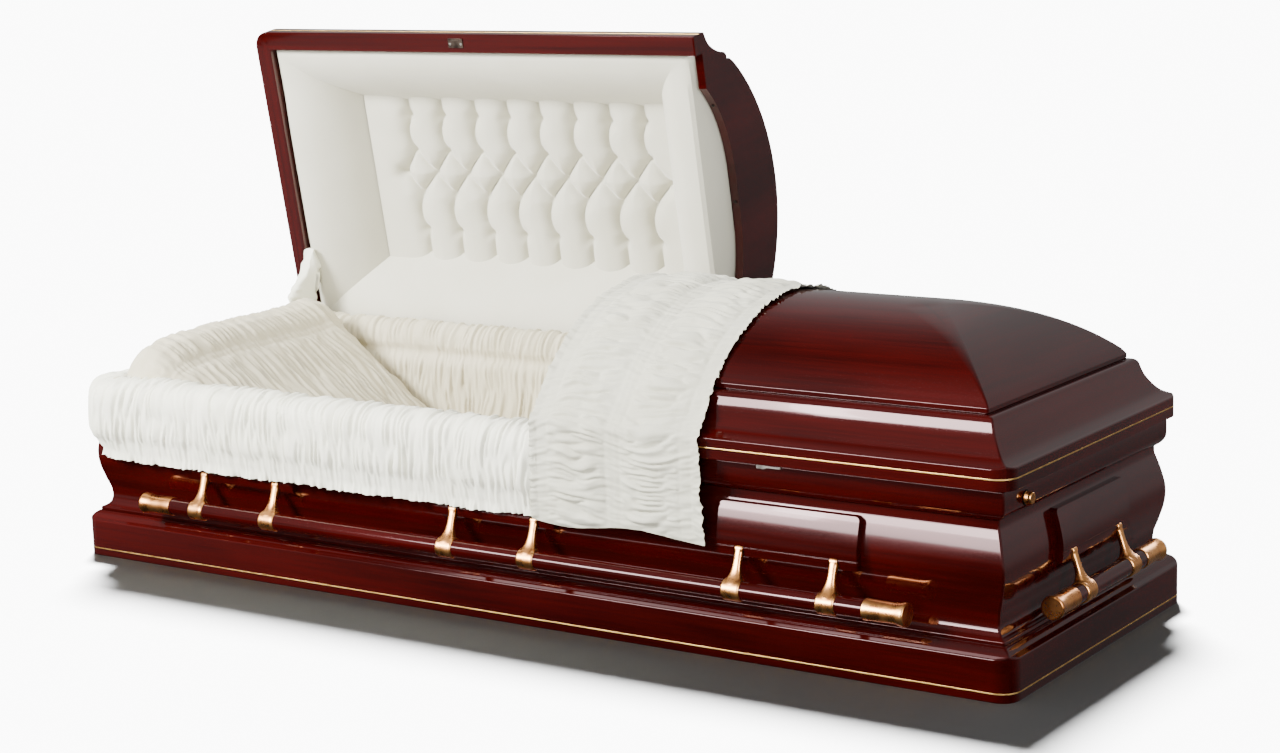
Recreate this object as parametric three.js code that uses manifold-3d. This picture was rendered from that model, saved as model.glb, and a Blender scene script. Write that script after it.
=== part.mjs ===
// Half-couch funeral casket in lacquered mahogany, millimetres, +Z up.
// The head end is at -X, the foot end at +X, the front at -Y, and the underside stands on z = 0.
import * as THREE from 'three';
import Module from 'manifold-3d';
import { mergeVertices } from 'three/addons/utils/BufferGeometryUtils.js';

const wasm = await Module();
wasm.setup();

// Overall sizes
const baseLength = 2130;
const baseWidth = 729;
const lidLength = 2116;
const lidWidth = 713.5;
const seam = 0.3;
const mitreGap = seam * 0.75;

// Body heights
const baseHeight = 91.7;
const panelTop = 298.6;
const railTop = 351.7;
const bottomBoardTop = 16;
const wallInner = 60;
const railInner = 64;
const railFace = 24.2;

// Lids
const lidPlane = 354.7;
const lidCut = 96.6;
const cutGap = 3;
const hingeInset = 10;
const openAngle = THREE.MathUtils.degToRad(79.9);
const rimDepth = 40;
const crownEdge = 72.7;
const crownLow = 112.7;
const crownShoulder = 124;
const crownTop = 243;
const crownWall = 16;
const headerThick = 18;
const cornerRadius = 36;
const hingeY = lidWidth / 2 - hingeInset;

// Gold lines, as heights of their middle
const baseLineHeight = 16;
const lidLineHeight = lidPlane + 20;
const lineWidth = 2.4;

// Swing-bar handles, insets measured in from the base's face
const barRadius = 17;
const barInset = -6;
const barHeight = 131;
const pivotInset = 16;
const pivotHeight = 199;
const armSpread = 94.5;
const lugSpacing = 632;
const sideBarHalf = 878;
const endBarHalf = 222;
const capLength = 80;
const lugHalfLength = 140;
const lugLow = 187;
const lugHigh = 280;
const lugThick = 14;
const lugGroove = 204;
const notchRadius = 10.5;
const barSides = 10;
const roundSteps = 4;

// Soft goods
const liningInner = 74;
const bedTop = 145;
const skirtHem = 210;
const overlayHead = 100;
const overlayFoot = 468;

const sideTurn = { back: 0, head: Math.PI / 2, front: Math.PI, foot: -Math.PI / 2 };

const woodFinish = { color: 0x4a0f10, roughness: 0.16, metalness: 0 };
const copperFinish = { color: 0xb8733f, roughness: 0.3, metalness: 1 };
const goldFinish = { color: 0xd9a441, roughness: 0.25, metalness: 1 };
const clothFinish = { color: 0xe9e6da, roughness: 0.85, metalness: 0 };
const zincFinish = { color: 0x8d8a80, roughness: 0.4, metalness: 1 };

const casket = new THREE.Group();

// Solids

function closedSolid(geometry) {
  const bare = geometry.clone();
  bare.deleteAttribute('normal');
  bare.deleteAttribute('uv');
  const merged = mergeVertices(bare, 1e-3);
  const index = merged.index.array;
  const kept = [];
  for (let i = 0; i < index.length; i += 3) {
    const [a, b, c] = [index[i], index[i + 1], index[i + 2]];
    if (a !== b && b !== c && c !== a) kept.push(a, b, c);
  }
  const vertProperties = new Float32Array(merged.attributes.position.array);
  return new wasm.Manifold(new wasm.Mesh({ numProp: 3, vertProperties, triVerts: new Uint32Array(kept) }));
}

function solidGeometry(solid) {
  const result = solid.getMesh();
  const geometry = new THREE.BufferGeometry();
  geometry.setAttribute('position', new THREE.BufferAttribute(new Float32Array(result.vertProperties), 3));
  geometry.setIndex(new THREE.BufferAttribute(new Uint32Array(result.triVerts), 1));
  geometry.computeVertexNormals();
  return geometry;
}

function unite(solids) {
  return solids.reduce((sum, solid) => sum.add(solid));
}

function piece(name, solid, finish, parent = casket) {
  const mesh = new THREE.Mesh(solidGeometry(solid), new THREE.MeshStandardMaterial(finish));
  mesh.name = name;
  parent.add(mesh);
  return mesh;
}

function block(low, high) {
  const geometry = new THREE.BoxGeometry(high[0] - low[0], high[1] - low[1], high[2] - low[2]);
  geometry.translate((low[0] + high[0]) / 2, (low[1] + high[1]) / 2, (low[2] + high[2]) / 2);
  return closedSolid(geometry);
}

// A cylinder along X, which is the run of a rail, bar or pin
function rodAlongX(radius, length, sides, centre) {
  const geometry = new THREE.CylinderGeometry(radius, radius, length, sides);
  geometry.rotateZ(Math.PI / 2);
  geometry.translate(...centre);
  return closedSolid(geometry);
}

// Outlines, as closed lists of (inset from the face, height)

function outline(draw, steps = 3) {
  const shape = new THREE.Shape();
  draw(shape);
  const points = shape.getPoints(steps);
  if (points[0].distanceTo(points[points.length - 1]) < 1e-6) points.pop();
  return points;
}

function lines(shape, points) {
  points.forEach(([inset, height]) => shape.lineTo(inset, height));
}

function vectors(points) {
  return points.map(([inset, height]) => new THREE.Vector2(inset, height));
}

// Lofts one outline between two ends, where each end's place may depend on the inset.
// Local axes are u along the run, v out of the face and z up, turned to the named side.
function run(points, side, frame, lowEnd, highEnd, lift = 0, gap = mitreGap) {
  const along = side === 'front' || side === 'back';
  const halfRun = (along ? frame.length : frame.width) / 2;
  const reach = (along ? frame.width : frame.length) / 2;
  const section = points.map(p => new THREE.Vector2(reach - p.x, p.y + lift));
  if (THREE.ShapeUtils.isClockWise(section)) section.reverse();
  const count = section.length;
  const endAt = (end, v, sign) => {
    if (end === 'mitre') return sign * (halfRun - (reach - v) - gap);
    return end;
  };
  const positions = [];
  section.forEach(p => positions.push(endAt(lowEnd, p.x, -1), p.x, p.y));
  section.forEach(p => positions.push(endAt(highEnd, p.x, 1), p.x, p.y));
  const index = [];
  for (let i = 0; i < count; i++) {
    const j = (i + 1) % count;
    index.push(i, j, count + j);
    index.push(i, count + j, count + i);
  }
  THREE.ShapeUtils.triangulateShape(section, []).forEach(([a, b, c]) => {
    index.push(count + a, count + b, count + c);
    index.push(c, b, a);
  });
  const geometry = new THREE.BufferGeometry();
  geometry.setAttribute('position', new THREE.BufferAttribute(new Float32Array(positions), 3));
  geometry.setIndex(index);
  geometry.rotateZ(sideTurn[side]);
  return closedSolid(geometry);
}

// An upright prism with rounded corners in plan
function roundedPlan(length, width, radius, low, high) {
  const shape = new THREE.Shape();
  const [x, y] = [length / 2 - radius, width / 2 - radius];
  shape.absarc(x, y, radius, 0, Math.PI / 2);
  shape.absarc(-x, y, radius, Math.PI / 2, Math.PI);
  shape.absarc(-x, -y, radius, Math.PI, Math.PI * 1.5);
  shape.absarc(x, -y, radius, Math.PI * 1.5, Math.PI * 2);
  const geometry = new THREE.ExtrudeGeometry(shape, { depth: high - low, bevelEnabled: false, curveSegments: roundSteps });
  geometry.translate(0, 0, low);
  return closedSolid(geometry);
}

// A prism along X whose outline is drawn across the width and above the lid plane
function alongX(shape, low, high, lift = lidPlane) {
  const geometry = new THREE.ExtrudeGeometry(shape, { depth: high - low, bevelEnabled: false });
  geometry.rotateX(Math.PI / 2);
  geometry.rotateZ(Math.PI / 2);
  geometry.translate(low, 0, lift);
  return closedSolid(geometry);
}

// A closed skin through rings of [x, y, z] points that all turn the same way
function loft(rings) {
  const count = rings[0].length;
  const last = (rings.length - 1) * count;
  const index = [];
  for (let i = 0; i < count; i++) {
    const j = (i + 1) % count;
    for (let k = 0; k < last; k += count) {
      index.push(k + i, k + j, k + count + j);
      index.push(k + i, k + count + j, k + count + i);
    }
    if (i > 0 && i < count - 1) {
      index.push(0, i + 1, i);
      index.push(last, last + i, last + i + 1);
    }
  }
  const geometry = new THREE.BufferGeometry();
  geometry.setAttribute('position', new THREE.BufferAttribute(new Float32Array(rings.flat(2)), 3));
  geometry.setIndex(index);
  return closedSolid(geometry);
}

// A level oval ring about a centre, counted anticlockwise from above
function oval(centre, wide, deep, sides) {
  return [...Array(sides).keys()].map(i => {
    const turn = (i + 0.5) / sides * Math.PI * 2;
    return [centre[0] + Math.cos(turn) * wide, centre[1] + Math.sin(turn) * deep, centre[2]];
  });
}

// A flat ring that follows a rounded frame, between two insets from its face
function planRing(frame, radius, outer, inner, low, high) {
  const outside = roundedPlan(frame.length - 2 * outer, frame.width - 2 * outer, radius - outer, low, high);
  const inside = roundedPlan(frame.length - 2 * inner, frame.width - 2 * inner, radius - inner, low - 1, high + 1);
  return outside.subtract(inside);
}

// The base: four mitred mouldings, a bottom board and a gold line let into a groove

const baseFrame = { length: baseLength, width: baseWidth };
const sides = ['front', 'back', 'head', 'foot'];

const baseOutline = vectors([
  [1.5, 0], [0, 2], [0, 72], [1, 75], [3.2, 76.3], [9, 78.3], [12, 82], [16, 87], [22, 90.5], [25, baseHeight],
  [wallInner, baseHeight], [wallInner, 66], [22, 66], [22, 0],
]);

const baseBlank = roundedPlan(baseLength, baseWidth, cornerRadius, -1, baseHeight + 1);
const baseGroove = planRing(baseFrame, cornerRadius, -5, 1.6, baseLineHeight - 1.5, baseLineHeight + 1.5);
sides.forEach(side => {
  const moulding = run(baseOutline, side, baseFrame, 'mitre', 'mitre');
  piece(`base_moulding_${side}`, moulding.intersect(baseBlank).subtract(baseGroove), woodFinish);
});

const boardHalf = [baseLength / 2 - 22 - seam, baseWidth / 2 - 22 - seam];
piece('bottom_board', block([-boardHalf[0], -boardHalf[1], 0], [boardHalf[0], boardHalf[1], bottomBoardTop]), woodFinish);

const lineHalf = lineWidth / 2;
const baseLine = planRing(baseFrame, cornerRadius, -0.4, 1.3, baseLineHeight - lineHalf, baseLineHeight + lineHalf);
piece('base_gold_line', baseLine, goldFinish);

// The body: ogee side and end panels under a top rail, mitred at the corners

const wallCurve = new THREE.SplineCurve(vectors([
  [27, 99], [36, 104], [41.3, 113], [42.2, 124], [38.5, 146], [31.5, 170],
  [25.8, 198], [24.8, 216], [28, 240], [34, 264], [41, 288],
]));

const panelOutline = outline(shape => {
  shape.moveTo(wallInner, baseHeight + seam);
  lines(shape, [[25, baseHeight + seam], [24.6, 97], [27, 99]]);
  shape.splineThru(wallCurve.points.slice(1));
  lines(shape, [[41.3, panelTop], [wallInner, panelTop]]);
}, 2);

const railOutline = vectors([
  [41, panelTop + seam], [33.5, 303.6], [28, 309], [25.3, 314.6], [railFace, 322], [railFace, 343],
  [25.5, 350], [28, railTop], [railInner, railTop], [railInner, panelTop + seam],
]);

const panelNames = { front: 'side_panel_front', back: 'side_panel_back', head: 'end_panel_head', foot: 'end_panel_foot' };
sides.forEach(side => {
  piece(panelNames[side], run(panelOutline, side, baseFrame, 'mitre', 'mitre'), woodFinish);
  piece(`top_rail_${side}`, run(railOutline, side, baseFrame, 'mitre', 'mitre'), woodFinish);
});

// Handle lugs: curved wooden plates that follow the panel's bulge, notched for the arms

function wallInset(height) {
  const samples = wallCurve.getPoints(80);
  const above = samples.findIndex(p => p.y >= height);
  const [a, b] = [samples[above - 1], samples[above]];
  return a.x + (b.x - a.x) * (height - a.y) / (b.y - a.y);
}

function lugOutline() {
  const plateSteps = 4;
  const heights = [...Array(plateSteps + 1).keys()].map(i => THREE.MathUtils.lerp(lugGroove + 2, lugHigh, i / plateSteps));
  const front = heights.map(height => [wallInset(height) - lugThick, height]);
  const back = [...heights, lugLow].sort((a, b) => b - a).map(height => [wallInset(height) - 1, height]);
  const groove = wallInset(lugGroove) - lugThick;
  const rail = [
    [groove + 3, lugLow], [groove - 0.5, lugLow + 3], [groove - 0.5, lugGroove - 4], [groove + 3, lugGroove - 1],
  ];
  return vectors([...rail, ...front, ...back]);
}

// The plate lies along the back here, then turns to its own side
function lug(side, place) {
  const reach = (side === 'front' || side === 'back' ? baseWidth : baseLength) / 2;
  const plate = run(lugOutline(), 'back', { length: 0, width: reach * 2 }, -lugHalfLength, lugHalfLength);
  const face = new THREE.Shape();
  const corner = 10;
  face.moveTo(-lugHalfLength, lugLow - 1);
  face.lineTo(lugHalfLength, lugLow - 1);
  face.absarc(lugHalfLength - corner, lugHigh - corner, corner, 0, Math.PI / 2);
  face.absarc(corner - lugHalfLength, lugHigh - corner, corner, Math.PI / 2, Math.PI);
  const depth = 80;
  const faceGeometry = new THREE.ExtrudeGeometry(face, { depth, bevelEnabled: false, curveSegments: 2 });
  faceGeometry.rotateX(Math.PI / 2);
  faceGeometry.translate(0, reach + depth / 4, 0);
  const notchTop = lugGroove - 1;
  const pivot = reach - pivotInset;
  const solid = [-armSpread, armSpread].reduce((sum, arm) => {
    const dome = new THREE.CylinderGeometry(notchRadius, notchRadius, depth, barSides);
    const arch = closedSolid(dome.translate(arm, reach, notchTop));
    const slot = block([arm - notchRadius, reach - 40, lugLow - 5], [arm + notchRadius, reach + 40, notchTop]);
    const pin = rodAlongX(2.4, notchRadius * 2 + 6, 6, [arm, pivot, pivotHeight]);
    return sum.subtract(arch).subtract(slot).add(pin);
  }, plate.intersect(closedSolid(faceGeometry)));
  const geometry = solidGeometry(solid);
  geometry.translate(place, 0, 0);
  geometry.rotateZ(sideTurn[side]);
  return closedSolid(geometry);
}

const lugPlaces = { head: -lugSpacing, middle: 0, foot: lugSpacing };
for (const [name, x] of Object.entries(lugPlaces)) {
  piece(`handle_lug_front_${name}`, lug('front', -x), woodFinish);
  piece(`handle_lug_back_${name}`, lug('back', x), woodFinish);
}
piece('handle_lug_head', lug('head', 0), woodFinish);
piece('handle_lug_foot', lug('foot', 0), woodFinish);

// Swing-bar handles: a wooden bar in copper arms with flared copper caps, hanging from the lugs' pins

const armReach = Math.hypot(pivotInset - barInset, pivotHeight - barHeight);
const armTilt = Math.atan2(pivotInset - barInset, pivotHeight - barHeight);
const collarRadius = 19.8;
const collarWidth = 37;
const bore = barRadius + 0.35;

// One arm with its pin at the origin and its bar straight below
function armSolid(bored) {
  const stations = [[-54, 19, 14], [-45, 13, 10], [-32, 8.6, 7.4], [-10, 7.8, 6.6], [2, 7.8, 6.6]];
  const neck = loft(stations.map(([z, wide, deep]) => oval([0, 0, z], wide, deep, 6)));
  const eye = rodAlongX(8, 16, 8, [0, 0, 0]);
  const collar = rodAlongX(collarRadius, collarWidth, barSides, [0, 0, -armReach]);
  const solid = neck.add(eye).add(collar);
  const cleared = bored ? solid.subtract(rodAlongX(bore, collarWidth * 2, barSides, [0, 0, -armReach])) : solid;
  return cleared.subtract(rodAlongX(3.1, 30, 6, [0, 0, 0]));
}

// A flared cap on the end of a bar, with its mouth at the origin and its face towards +X
const capSocket = 55;
function capSolid(bored) {
  const face = [[18.7, 0], [18, 45], [19, 62], [21.5, 74], [20.5, capLength], [0, capLength]];
  const socket = bored ? [[0, capSocket], [bore, capSocket], [bore, 0]] : [[0, 0]];
  const geometry = new THREE.LatheGeometry(vectors([...face, ...socket, face[0]]), barSides);
  geometry.rotateZ(-Math.PI / 2);
  return closedSolid(geometry);
}

function placed(solid, side, x, y, z, tilt, flip = false) {
  const geometry = solidGeometry(solid);
  geometry.rotateX(tilt);
  if (flip) geometry.rotateZ(Math.PI);
  geometry.translate(x, y, z);
  geometry.rotateZ(sideTurn[side]);
  return closedSolid(geometry);
}

function handleParts(side, arms, halfLength, bored) {
  const along = side === 'front' || side === 'back';
  const reach = (along ? baseWidth : baseLength) / 2;
  const barY = reach - barInset;
  const barEnd = halfLength - capLength + capSocket - 5;
  const bar = placed(rodAlongX(barRadius, barEnd * 2, barSides, [0, 0, 0]), side, 0, barY, barHeight, armTilt);
  const caps = [
    placed(capSolid(bored), side, halfLength - capLength, barY, barHeight, armTilt),
    placed(capSolid(bored), side, capLength - halfLength, barY, barHeight, -armTilt, true),
  ];
  const hung = arms.map(x => placed(armSolid(bored), side, x, reach - pivotInset, pivotHeight, armTilt));
  return { bar, caps, arms: hung };
}

const sideArms = [-1, 0, 1].flatMap(n => [n * lugSpacing - armSpread, n * lugSpacing + armSpread]);
const endArms = [-armSpread, armSpread];

// Seen from the front, a place along the front run is counted from the foot
const frontHandle = handleParts('front', sideArms, sideBarHalf, true);
piece('front_handle_bar', frontHandle.bar, woodFinish);
piece('front_handle_cap_foot', frontHandle.caps[1], copperFinish);
piece('front_handle_cap_head', frontHandle.caps[0], copperFinish);
frontHandle.arms.forEach((arm, i) => piece(`front_handle_arm_${sideArms.length - i}`, arm, copperFinish));

const footHandle = handleParts('foot', endArms, endBarHalf, true);
piece('foot_handle_bar', footHandle.bar, woodFinish);
piece('foot_handle_cap_front', footHandle.caps[0], copperFinish);
piece('foot_handle_cap_back', footHandle.caps[1], copperFinish);
footHandle.arms.forEach((arm, i) => piece(`foot_handle_arm_${i + 1}`, arm, copperFinish));

const backHandle = handleParts('back', sideArms, sideBarHalf, false);
piece('back_handle', unite([backHandle.bar, ...backHandle.caps, ...backHandle.arms]), copperFinish);
const headHandle = handleParts('head', endArms, endBarHalf, false);
piece('head_handle', unite([headHandle.bar, ...headHandle.caps, ...headHandle.arms]), copperFinish);

// Memorial tube cap on the foot rail, near the front corner
const tubeCap = new THREE.CylinderGeometry(9, 9, 14, 12);
tubeCap.rotateZ(Math.PI / 2);
tubeCap.translate(baseLength / 2 - railFace + seam + 7, -258, 327);
piece('memorial_tube_cap', closedSolid(tubeCap), copperFinish);

// Lids: rim mouldings in a cove, a hollow crown and a header board at the cut

const lidFrame = { length: lidLength, width: lidWidth };

const rimOuter = [
  [1.5, 0], [0, 2], [0, 34], [1.2, 37], [5, 39], [17.5, 44.5], [28, 51.5], [37, 61.5], [44.5, 73],
  [51, 87], [54, 99], [56.5, 106], [61.5, 109.9], [67.5, 110.7], [70, 108.5], [75.5, 108.5], [75.5, crownLow - seam],
];
const rimInner = [[96, crownLow - seam], [96, 96], [80, 88], [66, 66], [52, 40], [rimDepth, 24], [rimDepth, 0]];
const rimOutline = vectors([...rimOuter, ...rimInner]);
const hingeNotch = [[16, 0], [16, 5], [4, 5], [4, 0]];
const rimBackOutline = vectors([...rimOuter, ...rimInner, ...hingeNotch]);

const halfChord = lidWidth / 2 - crownEdge;
const rise = crownTop - crownShoulder;
const crownRadius = (halfChord * halfChord + rise * rise) / (2 * rise);
const crownCentre = crownTop - crownRadius;

// Height of the crown's underside or top at a distance from the middle line
function archHeight(distance, wall) {
  const radius = crownRadius - wall;
  return crownCentre + Math.sqrt(radius * radius - distance * distance);
}

// The crown's cross-section over the whole width, less a wall thickness
function archPoints(wall, floor) {
  const half = halfChord - wall;
  const steps = 16;
  const curve = [...Array(steps + 1).keys()].map(i => {
    const across = THREE.MathUtils.lerp(-half, half, i / steps);
    const eased = i === 0 || i === steps ? 2.5 : 0;
    return [across, archHeight(across, wall) - eased];
  });
  return [[-half, floor], ...curve, [half, floor]];
}

function archPrism(wall, floor, low, high) {
  const shape = new THREE.Shape(vectors(archPoints(wall, floor)));
  return alongX(shape, low, high);
}

// The same curve seen from the side, rising from the lid's end and level from the ridge on
function endPrism(wall, floor, end, cut) {
  const sign = Math.sign(end - cut);
  const ridge = Math.abs(end) - crownEdge - halfChord;
  const rising = archPoints(wall, floor).filter(([across]) => across > -1);
  const slope = rising.map(([across, height]) => [sign * (ridge + across), height]);
  const shape = new THREE.Shape(vectors([...slope, [cut, floor], [cut, crownTop - wall]]));
  const geometry = new THREE.ExtrudeGeometry(shape, { depth: lidWidth, bevelEnabled: false });
  geometry.rotateX(Math.PI / 2);
  geometry.translate(0, lidWidth / 2, lidPlane);
  return closedSolid(geometry);
}

function crownShell(end, cut) {
  const past = cut + Math.sign(cut - end) * 5;
  const dome = (wall, floor, stop) => archPrism(wall, floor, Math.min(end, stop), Math.max(end, stop))
    .intersect(endPrism(wall, floor, end, stop));
  return dome(0, crownLow, cut).subtract(dome(crownWall, crownLow - 5, past));
}

// The board that closes the lid's cut end above an arched opening
const headerFloor = 24;
const headerRise = 69;
const headerShoulder = 112;
function headerBoard(low, high) {
  const gap = 0.4;
  const half = lidWidth / 2;
  const edge = rimInner.slice(1, -1).reverse().map(([inset, height]) => [half - inset - gap, height - gap]);
  const right = [...edge, [half - rimInner[0][0] - gap, crownLow + gap]];
  const left = right.map(([across, height]) => [-across, height]).reverse();
  const top = archPoints(crownWall + gap, crownLow).slice(1, -1).reverse();
  const steps = 14;
  const opening = [...Array(steps + 1).keys()].map(i => {
    const share = THREE.MathUtils.lerp(-1, 1, i / steps);
    return [share * (half - headerShoulder), headerFloor + headerRise * (1 - Math.abs(share) ** 3)];
  });
  return alongX(new THREE.Shape(vectors([...opening, ...right, ...top, ...left])), low, high);
}

const lidBlank = roundedPlan(lidLength, lidWidth, cornerRadius, lidPlane - 1, lidPlane + crownLow + 1);
const lidGroove = planRing(lidFrame, cornerRadius, -5, 1.6, lidLineHeight - 1.5, lidLineHeight + 1.5);
const lidLine = planRing(lidFrame, cornerRadius, -0.4, 1.3, lidLineHeight - lineHalf, lidLineHeight + lineHalf);

function lid(name, end, cut, parent) {
  const toHead = end < cut;
  const endSide = toHead ? 'head' : 'foot';
  const frontEnds = toHead ? [-cut, 'mitre'] : ['mitre', -cut];
  const backEnds = toHead ? ['mitre', cut] : [cut, 'mitre'];
  const dress = solid => solid.intersect(lidBlank).subtract(lidGroove);
  piece(`${name}_rim_front`, dress(run(rimOutline, 'front', lidFrame, ...frontEnds, lidPlane)), woodFinish, parent);
  piece(`${name}_rim_back`, dress(run(rimBackOutline, 'back', lidFrame, ...backEnds, lidPlane)), woodFinish, parent);
  piece(`${name}_rim_${endSide}`, dress(run(rimOutline, endSide, lidFrame, 'mitre', 'mitre', lidPlane)), woodFinish, parent);
  piece(`${name}_crown`, crownShell(end, cut), woodFinish, parent);
  const inwards = toHead ? cut - headerThick : cut + headerThick;
  piece(`${name}_header_board`, headerBoard(Math.min(cut, inwards), Math.max(cut, inwards)), woodFinish, parent);
  const half = toHead ? [-lidLength, cut] : [cut, lidLength];
  const lineBlock = block([half[0], -lidWidth, lidPlane], [half[1], lidWidth, lidPlane + 60]);
  piece(`${name}_gold_line`, lidLine.intersect(lineBlock), goldFinish, parent);
}

const headLid = new THREE.Group();
headLid.position.set(0, hingeY, lidPlane);
headLid.rotation.x = -openAngle;
const headLidClosed = new THREE.Group();
headLidClosed.position.set(0, -hingeY, -lidPlane);
headLid.add(headLidClosed);
casket.add(headLid);

const footCut = lidCut + cutGap;
lid('head_lid', -lidLength / 2, lidCut, headLidClosed);
lid('foot_lid', lidLength / 2, footCut, casket);

// Long hinge on the back rail: a rod on the lids' axis over a leaf screwed to the rail
const hingeHalf = 1000;
const hingeRod = rodAlongX(3.2, hingeHalf * 2, 8, [0, hingeY, lidPlane]);
const leafFace = baseWidth / 2 - railFace + seam;
const leafY = [leafFace, leafFace + 1.8];
const leaf = block([-hingeHalf, leafY[0], 326], [hingeHalf, leafY[1], 348]);
const web = new THREE.Shape(vectors([
  [leafY[0], 346], [leafY[1], 346], [hingeY + 1.5, lidPlane - 1.5], [hingeY - 1.5, lidPlane - 1],
]));
piece('lid_hinge_strip', unite([hingeRod, leaf, alongX(web, -hingeHalf, hingeHalf, 0)]), zincFinish);

// Zinc catch on the head lid's front rim
const catchMiddle = -497;
const catchFront = -lidWidth / 2 + 7;
const catchPlate = block([catchMiddle - 24, catchFront, lidPlane - 1.6], [catchMiddle + 24, catchFront + 21, lidPlane - seam]);
piece('head_lid_catch', catchPlate, zincFinish, headLidClosed);

// Head lid lining: a padded roll that slopes from the rim to the tufted panel

const rollOutline = vectors([
  [41, 16], [56, 11], [76, 14], [100, 28], [124, 53], [148, 84], [166, 112], [181, 136],
  [181, 146], [166, 136], [150, 116], [128, 84], [104, 54], [82, 36], [62, 24], [42, 21],
]);
const overlap = -0.4;
const roomLength = lidCut + lidLength / 2;
const roomMiddle = (lidCut - lidLength / 2) / 2;
const roomFrame = { length: roomLength, width: lidWidth };
const rollRuns = sides.map(side => run(rollOutline, side, roomFrame, 'mitre', 'mitre', lidPlane, overlap));
const headerStrip = vectors([[headerThick + 1, 24], [headerThick + 1, 18], [42, 15.5], [42, 21]]);
const stripHalf = lidWidth / 2 - 42;
rollRuns.push(run(headerStrip, 'foot', roomFrame, -stripHalf, stripHalf, lidPlane));
piece('head_lid_lining', unite(rollRuns).translate([roomMiddle, 0, 0]), clothFinish, headLidClosed);

const panelInset = 182;
const panelLow = [-lidLength / 2 + panelInset, -lidWidth / 2 + panelInset, lidPlane + 136];
const panelHigh = [lidCut - panelInset, lidWidth / 2 - panelInset, lidPlane + 152];
piece('head_lid_tufted_panel', block(panelLow, panelHigh), clothFinish, headLidClosed);

// Bed, pillow and the gathered cloth that lines the body and turns out over the rails

const bedHalf = [baseLength / 2 - liningInner - 2, baseWidth / 2 - liningInner - 2];
piece('bed_mattress', block([-bedHalf[0], -bedHalf[1], bottomBoardTop + 0.5], [bedHalf[0], bedHalf[1], bedTop]), clothFinish);

const pillowShape = new THREE.Shape();
pillowShape.moveTo(-984, bedTop + 1);
pillowShape.lineTo(-470, bedTop + 1);
pillowShape.quadraticCurveTo(-430, bedTop + 20, -470, 205);
pillowShape.quadraticCurveTo(-640, 330, -880, 432);
pillowShape.quadraticCurveTo(-940, 452, -975, 425);
pillowShape.lineTo(-984, 330);
const pillowGeometry = new THREE.ExtrudeGeometry(pillowShape, {
  depth: 510, bevelEnabled: true, bevelThickness: 24, bevelSize: 0, bevelOffset: 0, bevelSegments: 1, curveSegments: 5,
});
pillowGeometry.rotateX(Math.PI / 2);
pillowGeometry.translate(0, 255, 0);
piece('pillow', closedSolid(pillowGeometry), clothFinish);

const skirtOutline = vectors([
  [0, skirtHem], [-3, 250], [-4, 320], [0, 350], [12, 366], [34, 372.5], [54, 370], [68, 360],
  [liningInner, 345], [liningInner, bedTop + 6], [railInner + 1, bedTop + 6], [railInner + 1, railTop + 0.6],
  [23.5, railTop + 0.6], [12, 340], [8, 320], [8, skirtHem],
]);
const puffOutline = vectors([
  [railInner + 1, bedTop + 6], [liningInner, bedTop + 6], [liningInner, 345], [68, 385], [52, 403], [38, 398],
  [33, 374], [33, railTop + 0.6], [railInner + 1, railTop + 0.6],
]);
const plainOutline = vectors([
  [railInner + 1, bedTop + 6], [liningInner, bedTop + 6], [liningInner, 346], [railInner + 1, 346],
]);
const liningBlank = roundedPlan(baseLength + 8, baseWidth + 8, 50, 100, 500);
const liningCut = lidCut + 2;
const liningRuns = [
  run(skirtOutline, 'front', baseFrame, -liningCut, 'mitre', 0, overlap),
  run(skirtOutline, 'head', baseFrame, 'mitre', 'mitre', 0, overlap),
  run(puffOutline, 'back', baseFrame, 'mitre', liningCut, 0, overlap),
  run(plainOutline, 'front', baseFrame, 'mitre', overlap - liningCut, 0, overlap),
  run(plainOutline, 'back', baseFrame, liningCut + overlap, 'mitre', 0, overlap),
  run(plainOutline, 'foot', baseFrame, 'mitre', 'mitre', 0, overlap),
];
const lidSwing = block([-baseLength, hingeY - 9, railTop - 3], [baseLength, baseWidth, lidPlane + 80]);
piece('bed_lining', unite(liningRuns).intersect(liningBlank).subtract(lidSwing), clothFinish);

// Overlay throw: gathered cloth over the foot lid at the cut, hanging down the front

function overlayOutline() {
  const [gap, thick, steps] = [1.5, 8, 12];
  const half = lidWidth / 2;
  const hang = [[-half - gap, skirtHem], [-half - gap, lidPlane + 38], [6 - half, lidPlane + 42], [50 - half, lidPlane + 108]];
  const over = [...Array(steps + 1).keys()].map(i => {
    const across = THREE.MathUtils.lerp(-halfChord - 2, 230, i / steps);
    const height = i === 0 ? crownShoulder + 1 : archHeight(across, 0) + gap + 1;
    return [across, lidPlane + height];
  });
  const inner = vectors([...hang, ...over]);
  const outer = inner.map((point, i) => {
    const heading = inner[Math.min(i + 1, inner.length - 1)].clone().sub(inner[Math.max(i - 1, 0)]).normalize();
    return new THREE.Vector2(point.x - heading.y * thick, point.y + heading.x * thick);
  });
  return [...inner, ...outer.reverse()];
}
piece('overlay_throw', alongX(new THREE.Shape(overlayOutline()), overlayHead, overlayFoot, 0), clothFinish);

// Cloth sleeve over the lid's stay at the back corner of the head end
const sleeve = loft([
  oval([-1005, 246, 380], 13, 30, 8),
  oval([-1005, 262, 440], 12, 26, 8),
  oval([-1003, 280, 500], 9, 18, 8),
  oval([-1000, 294, 552], 5, 8, 8),
]);
piece('lid_stay_sleeve', sleeve, clothFinish);

export default casket;
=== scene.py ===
import math
import bpy
import bmesh
import numpy as np
from mathutils import Matrix, Vector


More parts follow.
